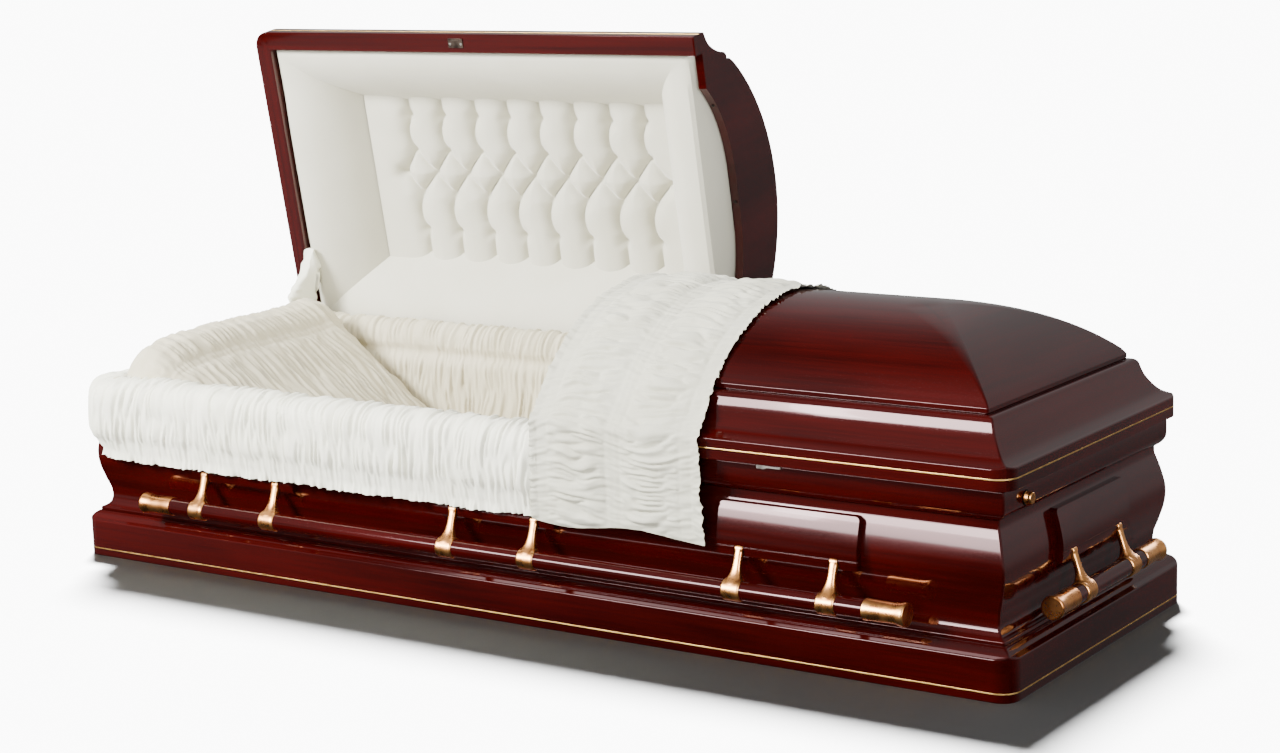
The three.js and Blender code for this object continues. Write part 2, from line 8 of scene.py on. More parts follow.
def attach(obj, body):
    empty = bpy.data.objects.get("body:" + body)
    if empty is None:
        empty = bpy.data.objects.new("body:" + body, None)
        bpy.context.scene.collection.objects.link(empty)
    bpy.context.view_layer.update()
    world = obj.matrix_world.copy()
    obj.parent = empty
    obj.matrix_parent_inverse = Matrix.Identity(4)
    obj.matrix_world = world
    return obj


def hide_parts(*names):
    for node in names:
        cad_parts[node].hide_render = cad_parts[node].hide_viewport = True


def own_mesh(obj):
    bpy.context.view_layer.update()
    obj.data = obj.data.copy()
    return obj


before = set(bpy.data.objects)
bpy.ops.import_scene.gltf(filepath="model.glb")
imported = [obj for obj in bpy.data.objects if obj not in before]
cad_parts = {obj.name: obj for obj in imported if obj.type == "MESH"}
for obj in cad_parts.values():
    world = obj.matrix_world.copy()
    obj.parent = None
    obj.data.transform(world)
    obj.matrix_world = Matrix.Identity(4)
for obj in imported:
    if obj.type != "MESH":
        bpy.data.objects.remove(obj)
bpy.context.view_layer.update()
scene = bpy.context.scene
mm = 0.001

# sizes shared with the frame: the base, the lids, their mating plane and the cut between them
baseSize = (2.130, 0.729)
lidSize = (2.116, 0.7135)
lidPlane = 0.3547
lidCut = 0.0966
footCut = lidCut + 0.003
hingeY = lidSize[1] / 2 - 0.010
lidOpening = math.radians(79.9)
halfLength, halfWidth = baseSize[0] / 2, baseSize[1] / 2
openLid = (Matrix.Translation((0, hingeY, lidPlane)) @ Matrix.Rotation(-lidOpening, 4, "X")
           @ Matrix.Translation((0, -hingeY, -lidPlane)))


# camera, solved from the corners of the base

shot = {"at": (2.8481, -4.0255, 1.3298), "yaw": 33.7342, "pitch": 10.1611, "roll": -1.5704,
        "focal": 2568.646, "middle": (665.54, 351.28), "image": (1280, 753), "sensor": 36, "far": 100}


def linked(name, data):
    obj = bpy.data.objects.new(name, data)
    scene.collection.objects.link(obj)
    return obj


def addCamera():
    yaw, pitch, roll = (math.radians(shot[key]) for key in ("yaw", "pitch", "roll"))
    width, height = shot["image"]
    ahead = Vector((-math.sin(yaw) * math.cos(pitch), math.cos(yaw) * math.cos(pitch), -math.sin(pitch)))
    right = Vector((math.cos(yaw), math.sin(yaw), 0))
    up = right.cross(ahead)
    turnedRight = right * math.cos(roll) + up * math.sin(roll)
    turnedUp = up * math.cos(roll) - right * math.sin(roll)
    data = bpy.data.cameras.new("camera")
    data.sensor_width = shot["sensor"]
    data.lens = shot["sensor"] * shot["focal"] / width
    data.shift_x = (width / 2 - shot["middle"][0]) / width
    data.shift_y = (shot["middle"][1] - height / 2) / width
    data.clip_end = shot["far"]
    camera = linked("camera", data)
    axes = Matrix((turnedRight, turnedUp, -ahead)).transposed().to_4x4()
    camera.matrix_world = Matrix.Translation(shot["at"]) @ axes
    scene.camera = camera


addCamera()
print("camera set")


# noise and gathers, as arrays of heights

noiseGrid = 256


def noise2(x, y, seed):
    # smooth noise from 0 to 1 over a seeded grid of random values
    grid = np.random.default_rng(seed).random((noiseGrid, noiseGrid))
    xi, yi = np.floor(x).astype(int), np.floor(y).astype(int)
    fx, fy = x - xi, y - yi
    fx, fy = fx * fx * (3 - 2 * fx), fy * fy * (3 - 2 * fy)
    x0, x1, y0, y1 = xi % noiseGrid, (xi + 1) % noiseGrid, yi % noiseGrid, (yi + 1) % noiseGrid
    low = grid[x0, y0] * (1 - fx) + grid[x1, y0] * fx
    high = grid[x0, y1] * (1 - fx) + grid[x1, y1] * fx
    return low * (1 - fy) + high * fy


def smoothstep(low, high, x):
    share = np.clip((x - low) / (high - low), 0, 1)
    return share * share * (3 - 2 * share)


gather = {"drift": 0.026, "wander": 0.006, "puffCurve": 0.7, "creaseCurve": 0.8, "creaseShare": 0.6,
          "creasePitch": 0.55, "away": 0.22, "beside": 0.65, "flattest": 0.1, "pleat": 0.0042,
          "pleatPitch": 0.0052, "stitch": 0.0013, "stitches": 2.5}


def shirring(across, along, rows, seed, pitch, length, depth, reach=0.030):
    # height of gathered cloth: puffs with sharp creases between them, fine pleats at each gathered row
    g = gather
    drift = noise2(along / 0.07, across / 0.09, seed + 7) - 0.5
    wander = noise2(along / 0.025, across / 0.03, seed + 8) - 0.5
    line = across + (drift * g["drift"] + wander * g["wander"])
    puffs = np.abs(2 * noise2(line / pitch, along / length + 40, seed) - 1) ** g["puffCurve"]
    creases = 2 * noise2(line / (pitch * g["creasePitch"]), along / (length * 0.8) + 90, seed + 1) - 1
    creases = np.abs(creases) ** g["creaseCurve"]
    full, tight = np.ones_like(across), np.full_like(across, g["away"])
    pleats = np.zeros_like(across)
    for row, width in rows:
        far = np.maximum(np.abs(along - row) - width, 0)
        full *= smoothstep(0, reach, far) * (1 - g["flattest"]) + g["flattest"]
        beside = smoothstep(0, 0.006, far) * np.exp(-(far / (reach * 0.8)) ** 2)
        tight = np.maximum(tight, g["beside"] * beside)
        near = 1 - smoothstep(0, 0.008, far)
        pleats += near * g["pleat"] * (noise2(across / g["pleatPitch"], along / 0.05 + 7, seed + 3) - 0.5)
        if width > 0:
            threads = np.cos((along - row) / width * math.pi * g["stitches"]) - 0.2
            pleats -= near * g["stitch"] * np.clip(threads, 0, 1)
    return depth * (puffs * full + creases * tight * g["creaseShare"]) + pleats


# outlines

def curve(points, steps):
    # a smooth line through open points
    p = [np.array(points[0]) * 2 - np.array(points[1])] + [np.array(q, float) for q in points]
    p.append(2 * p[-1] - p[-2])
    out = []
    for i in range(1, len(p) - 2):
        for k in range(steps):
            t = k / steps
            out.append(tuple(0.5 * (2 * p[i] + (p[i + 1] - p[i - 1]) * t
                       + (2 * p[i - 1] - 5 * p[i] + 4 * p[i + 1] - p[i + 2]) * t * t
                       + (3 * p[i] - 3 * p[i + 1] + p[i + 2] - p[i - 1]) * t ** 3)))
    return out + [tuple(p[-2])]


smoothTurn = math.radians(24)
edgeShare = 0.45


def rounded(points, radius=1.0, steps=3):
    # a closed outline in mm with its hard corners rounded, each by its own radius where it has one
    out = []
    count = len(points)
    for i in range(count):
        before, here, after = (np.array(points[(i + k) % count][:2], float) for k in (-1, 0, 1))
        r = points[i][2] if len(points[i]) > 2 else radius
        a, b = here - before, after - here
        la, lb = np.linalg.norm(a), np.linalg.norm(b)
        turn = math.acos(np.clip(a @ b / (la * lb), -1, 1))
        if turn < smoothTurn or r <= 0:
            out.append(tuple(here))
            continue
        reach = min(r * math.tan(turn / 2), edgeShare * la, edgeShare * lb)
        start, end = here - a / la * reach, here + b / lb * reach
        for k in range(steps + 1):
            t = k / steps
            out.append(tuple((1 - t) ** 2 * start + 2 * t * (1 - t) * here + t * t * end))
    return [(o * mm, z * mm) for o, z in out]


# meshes

shading = {"sharp": 35, "merge": 1e-5, "weight": 60}


def storeGrain(mesh, grain):
    values = np.array(grain, np.float32).ravel()
    mesh.attributes.new("grain", "FLOAT_VECTOR", "POINT").data.foreach_set("vector", values)


def setGrain(obj, place):
    points = np.empty(len(obj.data.vertices) * 3)
    obj.data.vertices.foreach_get("co", points)
    storeGrain(obj.data, place(points.reshape(-1, 3)))


def newObject(name, verts, faces, grain=None, sharp=shading["sharp"]):
    mesh = bpy.data.meshes.new(name)
    mesh.from_pydata([tuple(v) for v in verts], [], faces)
    if grain is not None:
        storeGrain(mesh, grain)
    obj = linked(name, mesh)
    finishMesh(obj, sharp)
    return obj


def finishMesh(obj, sharp=shading["sharp"], merge=shading["merge"]):
    work = bmesh.new()
    work.from_mesh(obj.data)
    bmesh.ops.remove_doubles(work, verts=work.verts, dist=merge)
    bmesh.ops.recalc_face_normals(work, faces=work.faces)
    work.to_mesh(obj.data)
    work.free()
    obj.data.shade_smooth()
    if sharp:
        obj.data.set_sharp_from_angle(angle=math.radians(sharp))
        weighted = obj.modifiers.new("normals", "WEIGHTED_NORMAL")
        weighted.keep_sharp = True
        weighted.weight = shading["weight"]


def gridFaces(rows, cols, wrapRows=False, wrapCols=False):
    faces = []
    for i in range(rows if wrapRows else rows - 1):
        for j in range(cols if wrapCols else cols - 1):
            row, nextRow, nextCol = i * cols, (i + 1) % rows * cols, (j + 1) % cols
            faces.append((row + j, row + nextCol, nextRow + nextCol, nextRow + j))
    return faces


def tubeFaces(rings, around):
    # the wall of a tube and its two ends
    ends = [tuple(range(around))[::-1], tuple(range((rings - 1) * around, rings * around))]
    return gridFaces(rings, around, False, True) + ends


# the corners of a frame seen from above: which way, where the quarter turn starts and its two sides
frameCorners = [(1, -1, -90, (0, 1)), (1, 1, 0, (1, 2)), (-1, 1, 90, (2, 3)), (-1, -1, 180, (3, 0))]
least = 1e-5  # no corner is tighter than this
sideGrain = 1.7  # sets the grain of one side apart from the next


def planPath(hx, hy, radius, part, cut, steps):
    # points (x, y, side) round a rectangle with rounded corners, whole or from the cut round one end
    r = max(min(radius, hx - least, hy - least), least)
    corners = {"foot": frameCorners[:2], "head": frameCorners[2:]}.get(part, frameCorners)
    path = []
    for sx, sy, start, turnSides in corners:
        for k in range(steps + 1):
            a = math.radians(start + 90 * k / steps)
            side = turnSides[int(k > steps / 2)]
            path.append((sx * (hx - r) + r * math.cos(a), sy * (hy - r) + r * math.sin(a), side))
    if part == "foot":
        path = [(cut, -hy, 0)] + path + [(cut, hy, 2)]
    if part == "head":
        path = [(cut, hy, 2)] + path + [(cut, -hy, 0)]
    return path


# radius of a frame's outer corners, for square pieces and for rims whose corners tighten inward
cornerRadius = {"sharp": 0.004, "rim": 0.036, "rimFall": 3.41}


def sharpCorner(inset):
    return cornerRadius["sharp"]


def rimCorner(inset):
    return max(cornerRadius["sharp"], cornerRadius["rim"] - cornerRadius["rimFall"] * inset)


def frameLoft(name, outline, size, corner, part="all", cut=0.0, lift=0.0, steps=8, seed=0.0):
    # sweeps a closed outline of (inset, height) round a rectangular frame with mitred corners
    verts, grain, run = [], [], 0.0
    for i, (inset, z) in enumerate(outline):
        if i:
            run += math.dist(outline[i], outline[i - 1])
        for x, y, side in planPath(size[0] / 2 - inset, size[1] / 2 - inset, corner(inset), part, cut, steps):
            verts.append((x, y, z + lift))
            grain.append((x if side in (0, 2) else y, run, side * sideGrain + seed))
    cols = len(verts) // len(outline)
    faces = gridFaces(len(outline), cols, True, part == "all")
    if part != "all":
        faces.append(tuple(i * cols for i in range(len(outline))))
        faces.append(tuple(i * cols + cols - 1 for i in range(len(outline)))[::-1])
    return newObject(name, verts, faces, grain)


def bake(obj):
    # applies the modifiers that an object has so far
    bpy.context.view_layer.update()
    graph = bpy.context.evaluated_depsgraph_get()
    mesh = bpy.data.meshes.new_from_object(obj.evaluated_get(graph))
    obj.modifiers.clear()
    obj.data = mesh


def bevelled(obj, width, segments, angle):
    rounding = obj.modifiers.new("bevel", "BEVEL")
    rounding.width = width
    rounding.segments = segments
    rounding.limit_method = "ANGLE"
    rounding.angle_limit = math.radians(angle)
    bake(obj)


def plate(name, contour, low, high, axisMap, bevel):
    # a flat board from a closed contour, between two levels, with a small rounded edge all round
    work = bmesh.new()
    face = work.faces.new([work.verts.new(axisMap(a, b, low)) for a, b in contour])
    made = bmesh.ops.extrude_face_region(work, geom=[face])
    shift = Vector(axisMap(*contour[0], high)) - Vector(axisMap(*contour[0], low))
    bmesh.ops.translate(work, vec=shift, verts=[v for v in made["geom"] if isinstance(v, bmesh.types.BMVert)])
    bmesh.ops.recalc_face_normals(work, faces=work.faces)
    mesh = bpy.data.meshes.new(name)
    work.to_mesh(mesh)
    work.free()
    obj = linked(name, mesh)
    if bevel:
        bevelled(obj, bevel, 2, shading["sharp"])
    finishMesh(obj)
    return obj


def dress(obj, material, slot, body, *nodes):
    obj.data.materials.clear()
    obj.data.materials.append(material)
    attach(obj, body)
    if nodes:
        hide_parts(*nodes)


# material nodes

class Value:
    # a node's socket that sums can be written with

    def __init__(self, graph, socket):
        self.graph = graph
        self.socket = socket

    def __add__(self, other):
        return self.graph.math("ADD", self, other)

    def __radd__(self, other):
        return self.graph.math("ADD", other, self)

    def __sub__(self, other):
        return self.graph.math("SUBTRACT", self, other)

    def __rsub__(self, other):
        return self.graph.math("SUBTRACT", other, self)

    def __mul__(self, other):
        return self.graph.math("MULTIPLY", self, other)

    def __rmul__(self, other):
        return self.graph.math("MULTIPLY", other, self)

    def band(self, low, high, toLow=0.0, toHigh=1.0):
        # a soft step from one value to another
        return self.graph.node("MapRange", {"interpolation_type": "SMOOTHSTEP"},
                               {0: self, 1: low, 2: high, 3: toLow, 4: toHigh})


class Graph:
    # the nodes of one material or of the world

    def __init__(self, owner):
        owner.use_nodes = True
        self.owner = owner
        self.tree = owner.node_tree

    def feed(self, socket, value):
        if isinstance(value, Value):
            self.tree.links.new(value.socket, socket)
        elif value is not None:
            socket.default_value = value

    def node(self, kind, settings=None, sockets=None, output=0):
        made = self.tree.nodes.new("ShaderNode" + kind)
        for key, setting in (settings or {}).items():
            setattr(made, key, setting)
        for key, value in (sockets or {}).items():
            self.feed(made.inputs[key], value)
        return Value(self, made.outputs[output])

    def math(self, operation, left, right):
        return self.node("Math", {"operation": operation}, {0: left, 1: right})

    def surface(self, sockets):
        # what the Principled BSDF is given
        for key, value in sockets.items():
            self.feed(self.tree.nodes["Principled BSDF"].inputs[key], value)
        return self.owner

    def finish(self, shader, output):
        self.tree.links.new(shader.socket, self.tree.nodes[output].inputs[0])

    def mix(self, factor, low, high):
        return self.node("Mix", {"data_type": "RGBA"}, {0: factor, 6: low, 7: high}, 2)

    def grain(self):
        return self.node("Attribute", {"attribute_name": "grain"}, output="Vector")

    def place(self):
        return self.node("TexCoord", output="Object")

    def noise(self, vector, scale, detail, roughness=0.5, distortion=0.0):
        stretched = self.node("VectorMath", {"operation": "MULTIPLY"}, {0: vector, 1: scale})
        return self.node("TexNoise", {}, {"Vector": stretched, "Scale": 1.0, "Detail": detail,
                                          "Roughness": roughness, "Distortion": distortion})

    def bump(self, height, distance, strength, under=None):
        return self.node("Bump", {}, {"Height": height, "Distance": distance, "Strength": strength,
                                      "Normal": under})


def newMaterial(name):
    return Graph(bpy.data.materials.new(name))


# dark red stained mahogany with soft grain under a clear gloss coat
wood = {"deep": (0.013, 0.0004, 0.0003, 1), "warm": (0.036, 0.0011, 0.0007, 1),
        "pore": (0.012, 0.0012, 0.0012, 1), "pores": 0.35, "gloss": (0.07, 0.13), "relief": 0.00003,
        "cloud": (1.6, 9, 1), "streak": (3.5, 150, 1), "pit": (26, 900, 1),
        "coat": 0.35, "coatRoughness": 0.03, "specularTint": (1, 0.62, 0.62, 1)}


def mahogany(name, byAttribute=True, tint=1.0):
    s = newMaterial(name)
    along = s.grain() if byAttribute else s.place()
    cloud = s.noise(along, wood["cloud"], 3, 0.55, 0.3)
    streak = s.noise(along, wood["streak"], 5, 0.6, 0.5)
    pores = s.noise(along, wood["pit"], 2, 0.5).band(0.56, 0.72) * wood["pores"]
    deep, warm = ((wood[key][0] * tint, *wood[key][1:]) for key in ("deep", "warm"))
    color = s.mix((cloud * 0.62 + streak * 0.38).band(0.32, 0.68), deep, warm)
    return s.surface({
        "Base Color": s.mix(pores, color, wood["pore"]),
        "Roughness": cloud.band(0.3, 0.7, *wood["gloss"]),
        "Normal": s.bump(streak, wood["relief"], 0.15),
        "IOR": 1.5, "Specular IOR Level": 0.5, "Specular Tint": wood["specularTint"],
        "Coat Weight": wood["coat"], "Coat Roughness": wood["coatRoughness"], "Coat IOR": 1.5})


# burnished copper with browner recesses and fine brushing
copperPlate = {"tone": (1.0, 0.49, 0.17, 1), "dark": (0.56, 0.18, 0.05, 1), "roughness": (0.24, 0.36),
               "worn": (45, 45, 45), "brushed": (60, 60, 700), "relief": 0.00004}


def copper(name):
    s = newMaterial(name)
    worn = s.noise(s.place(), copperPlate["worn"], 4, 0.6)
    brushed = s.noise(s.place(), copperPlate["brushed"], 3, 0.6)
    edge = s.node("NewGeometry", output="Pointiness").band(0.47, 0.54)
    bright = edge * 0.6 + worn.band(0.4, 0.7) * 0.25 + 0.2
    return s.surface({
        "Base Color": s.mix(bright, copperPlate["dark"], copperPlate["tone"]),
        "Roughness": worn.band(0.3, 0.75, *copperPlate["roughness"]),
        "Normal": s.bump(brushed, copperPlate["relief"], 0.2),
        "Metallic": 1.0})


# fine crepe and satin: a tight weave, soft crinkles and a little sheen
crepe = {"cloud": (9, 9, 9), "crinkles": (170, 170, 170), "weave": (2600, 2600, 2600),
         "weaveRelief": 0.00012, "roughness": 0.92, "sheenRoughness": 0.45}


def cloth(name, color, shade, crinkle=0.00035, sheen=0.25):
    s = newMaterial(name)
    cloud = s.noise(s.place(), crepe["cloud"], 3, 0.5)
    fine = s.noise(s.place(), crepe["crinkles"], 3, 0.55)
    thread = s.noise(s.place(), crepe["weave"], 1, 0.5)
    crinkles = s.bump(fine, crinkle, 0.5)
    return s.surface({
        "Base Color": s.mix(cloud.band(0.3, 0.7) * 0.6 + fine * 0.25, shade, color),
        "Normal": s.bump(thread, crepe["weaveRelief"], 0.35, crinkles),
        "Roughness": crepe["roughness"], "Specular IOR Level": 0.2,
        "Sheen Weight": sheen, "Sheen Roughness": crepe["sheenRoughness"]})


fineMetal = {"worn": (70, 70, 70), "pitting": (400, 400, 400), "relief": 0.00005, "spread": 0.14}


def plainMetal(name, color, dark, roughness):
    s = newMaterial(name)
    worn = s.noise(s.place(), fineMetal["worn"], 4, 0.6)
    pitting = s.noise(s.place(), fineMetal["pitting"], 2, 0.5)
    return s.surface({
        "Base Color": s.mix(worn.band(0.35, 0.7), dark, color),
        "Roughness": worn.band(0.3, 0.7, roughness, roughness + fineMetal["spread"]),
        "Normal": s.bump(pitting, fineMetal["relief"], 0.3),
        "Metallic": 1.0})


woodMaterial = mahogany("mahogany_lacquer")
boardMaterial = mahogany("mahogany_lacquer_board", byAttribute=False)
barMaterial = mahogany("mahogany_bar", tint=1.1)
copperMaterial = copper("burnished_copper")
goldMaterial = plainMetal("gold_line", (1.0, 0.66, 0.24, 1), (0.92, 0.56, 0.18, 1), 0.3)
zincMaterial = plainMetal("zinc_plate", (0.52, 0.49, 0.44, 1), (0.30, 0.28, 0.25, 1), 0.35)
bronzeMaterial = plainMetal("bronzed_plate", (0.20, 0.15, 0.12, 1), (0.10, 0.075, 0.06, 1), 0.32)
darkMaterial = plainMetal("blackened_steel", (0.05, 0.045, 0.04, 1), (0.02, 0.018, 0.016, 1), 0.4)
# the cream crepe has a warm tone of its own, and is made much darker than the white crepe as painted shade
# for the lining inside the casket: back wall, closed half, pillow and bed
shadedCreamCloth = cloth("cream_crepe_painted_shade", (0.585, 0.535, 0.395, 1), (0.53, 0.48, 0.34, 1))
whiteCloth = cloth("white_crepe", (0.86, 0.85, 0.72, 1), (0.82, 0.81, 0.66, 1))
throwCloth = cloth("throw_crepe", (0.58, 0.57, 0.465, 1), (0.52, 0.505, 0.40, 1))
# the lid satin is made darker than the white crepe as painted shade for the inside of the open lid
shadedSatinCloth = cloth("lid_satin_painted_shade", (0.60, 0.58, 0.48, 1), (0.56, 0.54, 0.435, 1), crinkle=0.00012, sheen=0.5)
print("materials made")


# base, body and rails: outlines in mm of (inset, height, corner radius)

wall = curve([(27, 99), (31.5, 101), (36.5, 104.6), (40.3, 110.5), (42.3, 119), (42.2, 127), (41.2, 136),
              (39, 145), (35.2, 156), (32.3, 167), (29.2, 178), (26.7, 190), (25.3, 201), (24.8, 213),
              (25.2, 222), (26.5, 231), (28.5, 241), (31, 252), (34, 264), (37.6, 276), (41, 287)], 2)
shell = {
    "base_moulding": {
        "corner": rimCorner,
        "outline": [(0, 0, 2.5), (0, 74.6, 3.2), (8.6, 78.2, 1.2)]
        + curve([(10.2, 79.6), (12.6, 83.4), (16.2, 87.2), (20.5, 90), (25, 91.7)], 2)
        + [(60, 91.7), (60, 66), (22, 66), (22, 0)],
        "nodes": ["base_moulding_front", "base_moulding_back", "base_moulding_head", "base_moulding_foot"]},
    "body_panels": {
        "corner": sharpCorner,
        "outline": [(25, 92, 0.5), (24.4, 97.6, 2.2)] + wall + [(41.2, 298.6, 0), (60, 298.6), (60, 92)],
        "nodes": ["side_panel_front", "side_panel_back", "end_panel_head", "end_panel_foot"]},
    "top_rail": {
        "corner": sharpCorner,
        "outline": [(41, 298.9, 0)]
        + curve([(37, 301), (32.5, 304.2), (28.6, 308.6), (25.6, 314), (24.4, 320), (24.1, 331),
                 (24.2, 343)], 2)
        + [(25.2, 351.7, 2.4), (64, 351.7), (64, 298.9)],
        "nodes": ["top_rail_front", "top_rail_back", "top_rail_head", "top_rail_foot"]},
}
grainStep = 11.3  # keeps the grain of one piece from running on in the next
for i, (name, part) in enumerate(shell.items()):
    piece = frameLoft(name, rounded(part["outline"]), baseSize, part["corner"], seed=i * grainStep)
    dress(piece, woodMaterial, "mahogany", "casket", *part["nodes"])

goldLine = {"half": 1.2, "proud": 0.5, "sunk": 1.2, "baseHeight": 16, "lidHeight": 20}


def goldRing(name, size, height, part, cut, lift, body, node):
    g = goldLine
    low, high = height - g["half"], height + g["half"]
    outline = rounded([(-g["proud"], low, 0.4), (-g["proud"], high, 0.4), (g["sunk"], high, 0),
                       (g["sunk"], low, 0)], steps=2)
    ring = frameLoft(name, outline, size, rimCorner, part, cut, lift)
    if body == "head_lid":
        ring.data.transform(openLid)
    dress(ring, goldMaterial, "gold_line", body, node)


goldRing("gold_line_base", baseSize, goldLine["baseHeight"], "all", 0, 0, "casket", "base_gold_line")
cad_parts["bottom_board"].data.materials.clear()
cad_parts["bottom_board"].data.materials.append(boardMaterial)
print("body made")


# lids

rimOutline = rounded(
    [(0, 0, 1.6), (0, 37.4, 2.4), (4.6, 38.9, 1.0)]
    + curve([(6, 39.3), (17.5, 44.3), (26, 49.4), (33, 56.8), (39, 64.6), (44, 72.4), (48.4, 80.6),
             (51.6, 88.6), (54, 96.5), (55.9, 102.5), (58.8, 107), (63, 109.7), (68, 110.7)], 3)
    + [(71, 110.5, 0.6), (71.6, 108.3, 0.4), (77, 108.3), (77, 112.5), (96, 112.5), (96, 96), (80, 88),
       (66, 66), (52, 40), (40, 24), (40, 0, 1.4)])
crown = {"edge": 0.0727, "top": 0.243, "radius": 0.3985, "board": 0.016, "outer": 40, "inner": 13,
         "corner": 0.004, "hip": 0.075, "hipCurve": 1.6}
halfLid = lidSize[1] / 2
halfChord = halfLid - crown["edge"]


def archAt(across, sink=0.0):
    # height of the crown over the mating plane at a distance from the middle
    radius = crown["radius"] - sink
    return crown["top"] - crown["radius"] + math.sqrt(radius * radius - across * across)


def crownOutline():
    edge, middle, board = crown["edge"], halfLid / mm, crown["board"]
    path = [(edge / mm, 113.2, 0.6), (edge / mm, 121.0, 3.0)]
    for k in range(1, crown["outer"]):
        across = halfChord * (1 - k / crown["outer"])
        path.append((edge / mm + (halfChord - across) / mm, archAt(across) / mm, 0))
    path += [(middle - 0.05, crown["top"] / mm, 0), (middle - 0.05, (crown["top"] - board) / mm, 0)]
    for k in range(1, crown["inner"]):
        across = (halfChord - board) * k / crown["inner"]
        path.append((middle - across / mm, archAt(across, board) / mm, 0))
    return rounded(path + [(88.7, 117, 0), (88.7, 112.8, 0), (75, 112.8, 0)])


def crownCorner(inset):
    climbed = max(inset - crown["edge"], 0) / halfChord
    return crown["corner"] + crown["hip"] * climbed ** crown["hipCurve"]


header = {"rimTop": 0.0708, "seam": 0.1085, "post": 0.040, "springing": 0.024, "rise": 0.069,
          "half": halfLid - 0.112, "lip": 0.0008, "face": 0.0034, "board": 0.018,
          "lipCentre": 0.12, "lipSize": (0.9975, 0.9955), "boardCentre": 0.06, "boardSize": 0.93}


def openingAt(share):
    # height of the arched opening at a share of its half width
    return header["springing"] + header["rise"] * (1 - abs(share) ** 3)


def headerContour():
    # the outside of the cut face, from the rim's mating edge over the crown, and the arched opening
    rimPath = []
    for inset, height in rimOutline:
        rimPath.append((inset, height))
        if inset > header["rimTop"]:
            break
    right = [(halfLid - inset, height) for inset, height in rimPath if inset < 0.0715]
    right += [(halfLid - 0.0716, header["seam"]), (halfChord, header["seam"]), (halfChord, 0.1212)]
    left = [(-y, height) for y, height in right][::-1]
    arch = [(halfChord * (1 - k / 30), archAt(halfChord * (1 - k / 30))) for k in range(1, 60)]
    post = halfLid - header["post"]
    opening = [(-post, 0.0), (-post, header["springing"])]
    opening += [((-1 + k / 20) * header["half"], openingAt(-1 + k / 20)) for k in range(41)]
    opening += [(post, header["springing"]), (post, 0.0)]
    return right + arch + left, opening


def headerBoard(name, cut, way):
    # full section at the cut face, stepped in behind it so that it sits inside the rim and crown
    h = header
    outer, opening = headerContour()
    wide, tall = h["lipSize"]
    size, middle = h["boardSize"], h["boardCentre"]
    lip = [(y * wide, h["lipCentre"] + (z - h["lipCentre"]) * tall) for y, z in outer]
    inner = [(y * size, middle + (z - middle) * size) for y, z in outer]
    face, back = cut - way * h["face"], cut - way * h["board"]
    loops = [(lip + opening, cut), (outer + opening, cut - way * h["lip"]), (outer + opening, face),
             (inner + opening, face), (inner + opening, back)]
    verts = [(x, y, z + lidPlane) for loop, x in loops for y, z in loop]
    board = newObject(name, verts, tubeFaces(len(loops), len(outer) + len(opening)))
    setGrain(board, lambda p: np.stack([p[:, 2] * 0.9 + 0.4 * p[:, 0], p[:, 1], p[:, 0] * 0 + 71], 1))
    return board


lidSeam = 0.0035  # how far the rim and crown stop behind the cut face
lidGrain = {"rim": 31.0, "crown": 47.0}


def lid(name, part, cut):
    way = 1 if part == "head" else -1
    end = cut - way * lidSeam
    rim = frameLoft(name + "_rim", rimOutline, lidSize, rimCorner, part, end, lidPlane, seed=lidGrain["rim"])
    dome = frameLoft(name + "_crown", crownOutline(), lidSize, crownCorner, part, end, lidPlane, 10,
                     seed=lidGrain["crown"])
    board = headerBoard(name + "_header", cut, way)
    shown = [(rim, [f"{name}_rim_front", f"{name}_rim_back", f"{name}_rim_{part}"]),
             (dome, [f"{name}_crown"]), (board, [f"{name}_header_board"])]
    for obj, nodes in shown:
        if part == "head":
            obj.data.transform(openLid)
        dress(obj, woodMaterial, "mahogany", name, *nodes)
    goldRing(name + "_gold", lidSize, goldLine["lidHeight"], part, cut - way * 0.0004, lidPlane, name,
             name + "_gold_line")


lid("head_lid", "head", lidCut)
lid("foot_lid", "foot", footCut)
print("lids made")


# lugs, bars, caps and arms

handle = {"pivot": (-0.016, 0.199), "bar": (0.006, 0.131), "barRadius": 0.017, "capLength": 0.080,
          "pinHalf": 0.0125, "pinRadius": 0.0026, "barTurn": 0.03}
arm = {"stations": [(-0.10, 7.0, 5.0), (-0.06, 8.0, 6.6), (0.03, 8.3, 7.6), (0.14, 8.1, 7.2),
                    (0.28, 7.7, 6.2), (0.42, 8.1, 6.2), (0.54, 9.5, 7.0), (0.64, 11.8, 8.8),
                    (0.73, 14.4, 11.6), (0.81, 16.8, 14.8), (0.89, 18.4, 17.8), (1.0, 18.8, 19.4)],
       "around": 36, "blocky": 0.75, "bow": 0.0022, "reach": 0.0945, "collarRadius": 0.0198,
       "collarHalf": 0.0185, "voxel": 0.0013, "smoothing": 4,
       "eye": [(-0.0080, 0.0062), (-0.0073, 0.0076), (-0.006, 0.0082), (0.006, 0.0082), (0.0073, 0.0076),
               (0.0080, 0.0062)]}
lug = {"half": 0.140, "low": 0.187, "high": 0.280, "thick": 0.014, "notch": 0.0105, "groove": 0.0017,
       "levels": [0.192, 0.198, 0.2026, 0.2032, 0.2044, 0.2050], "bevel": 0.0026}

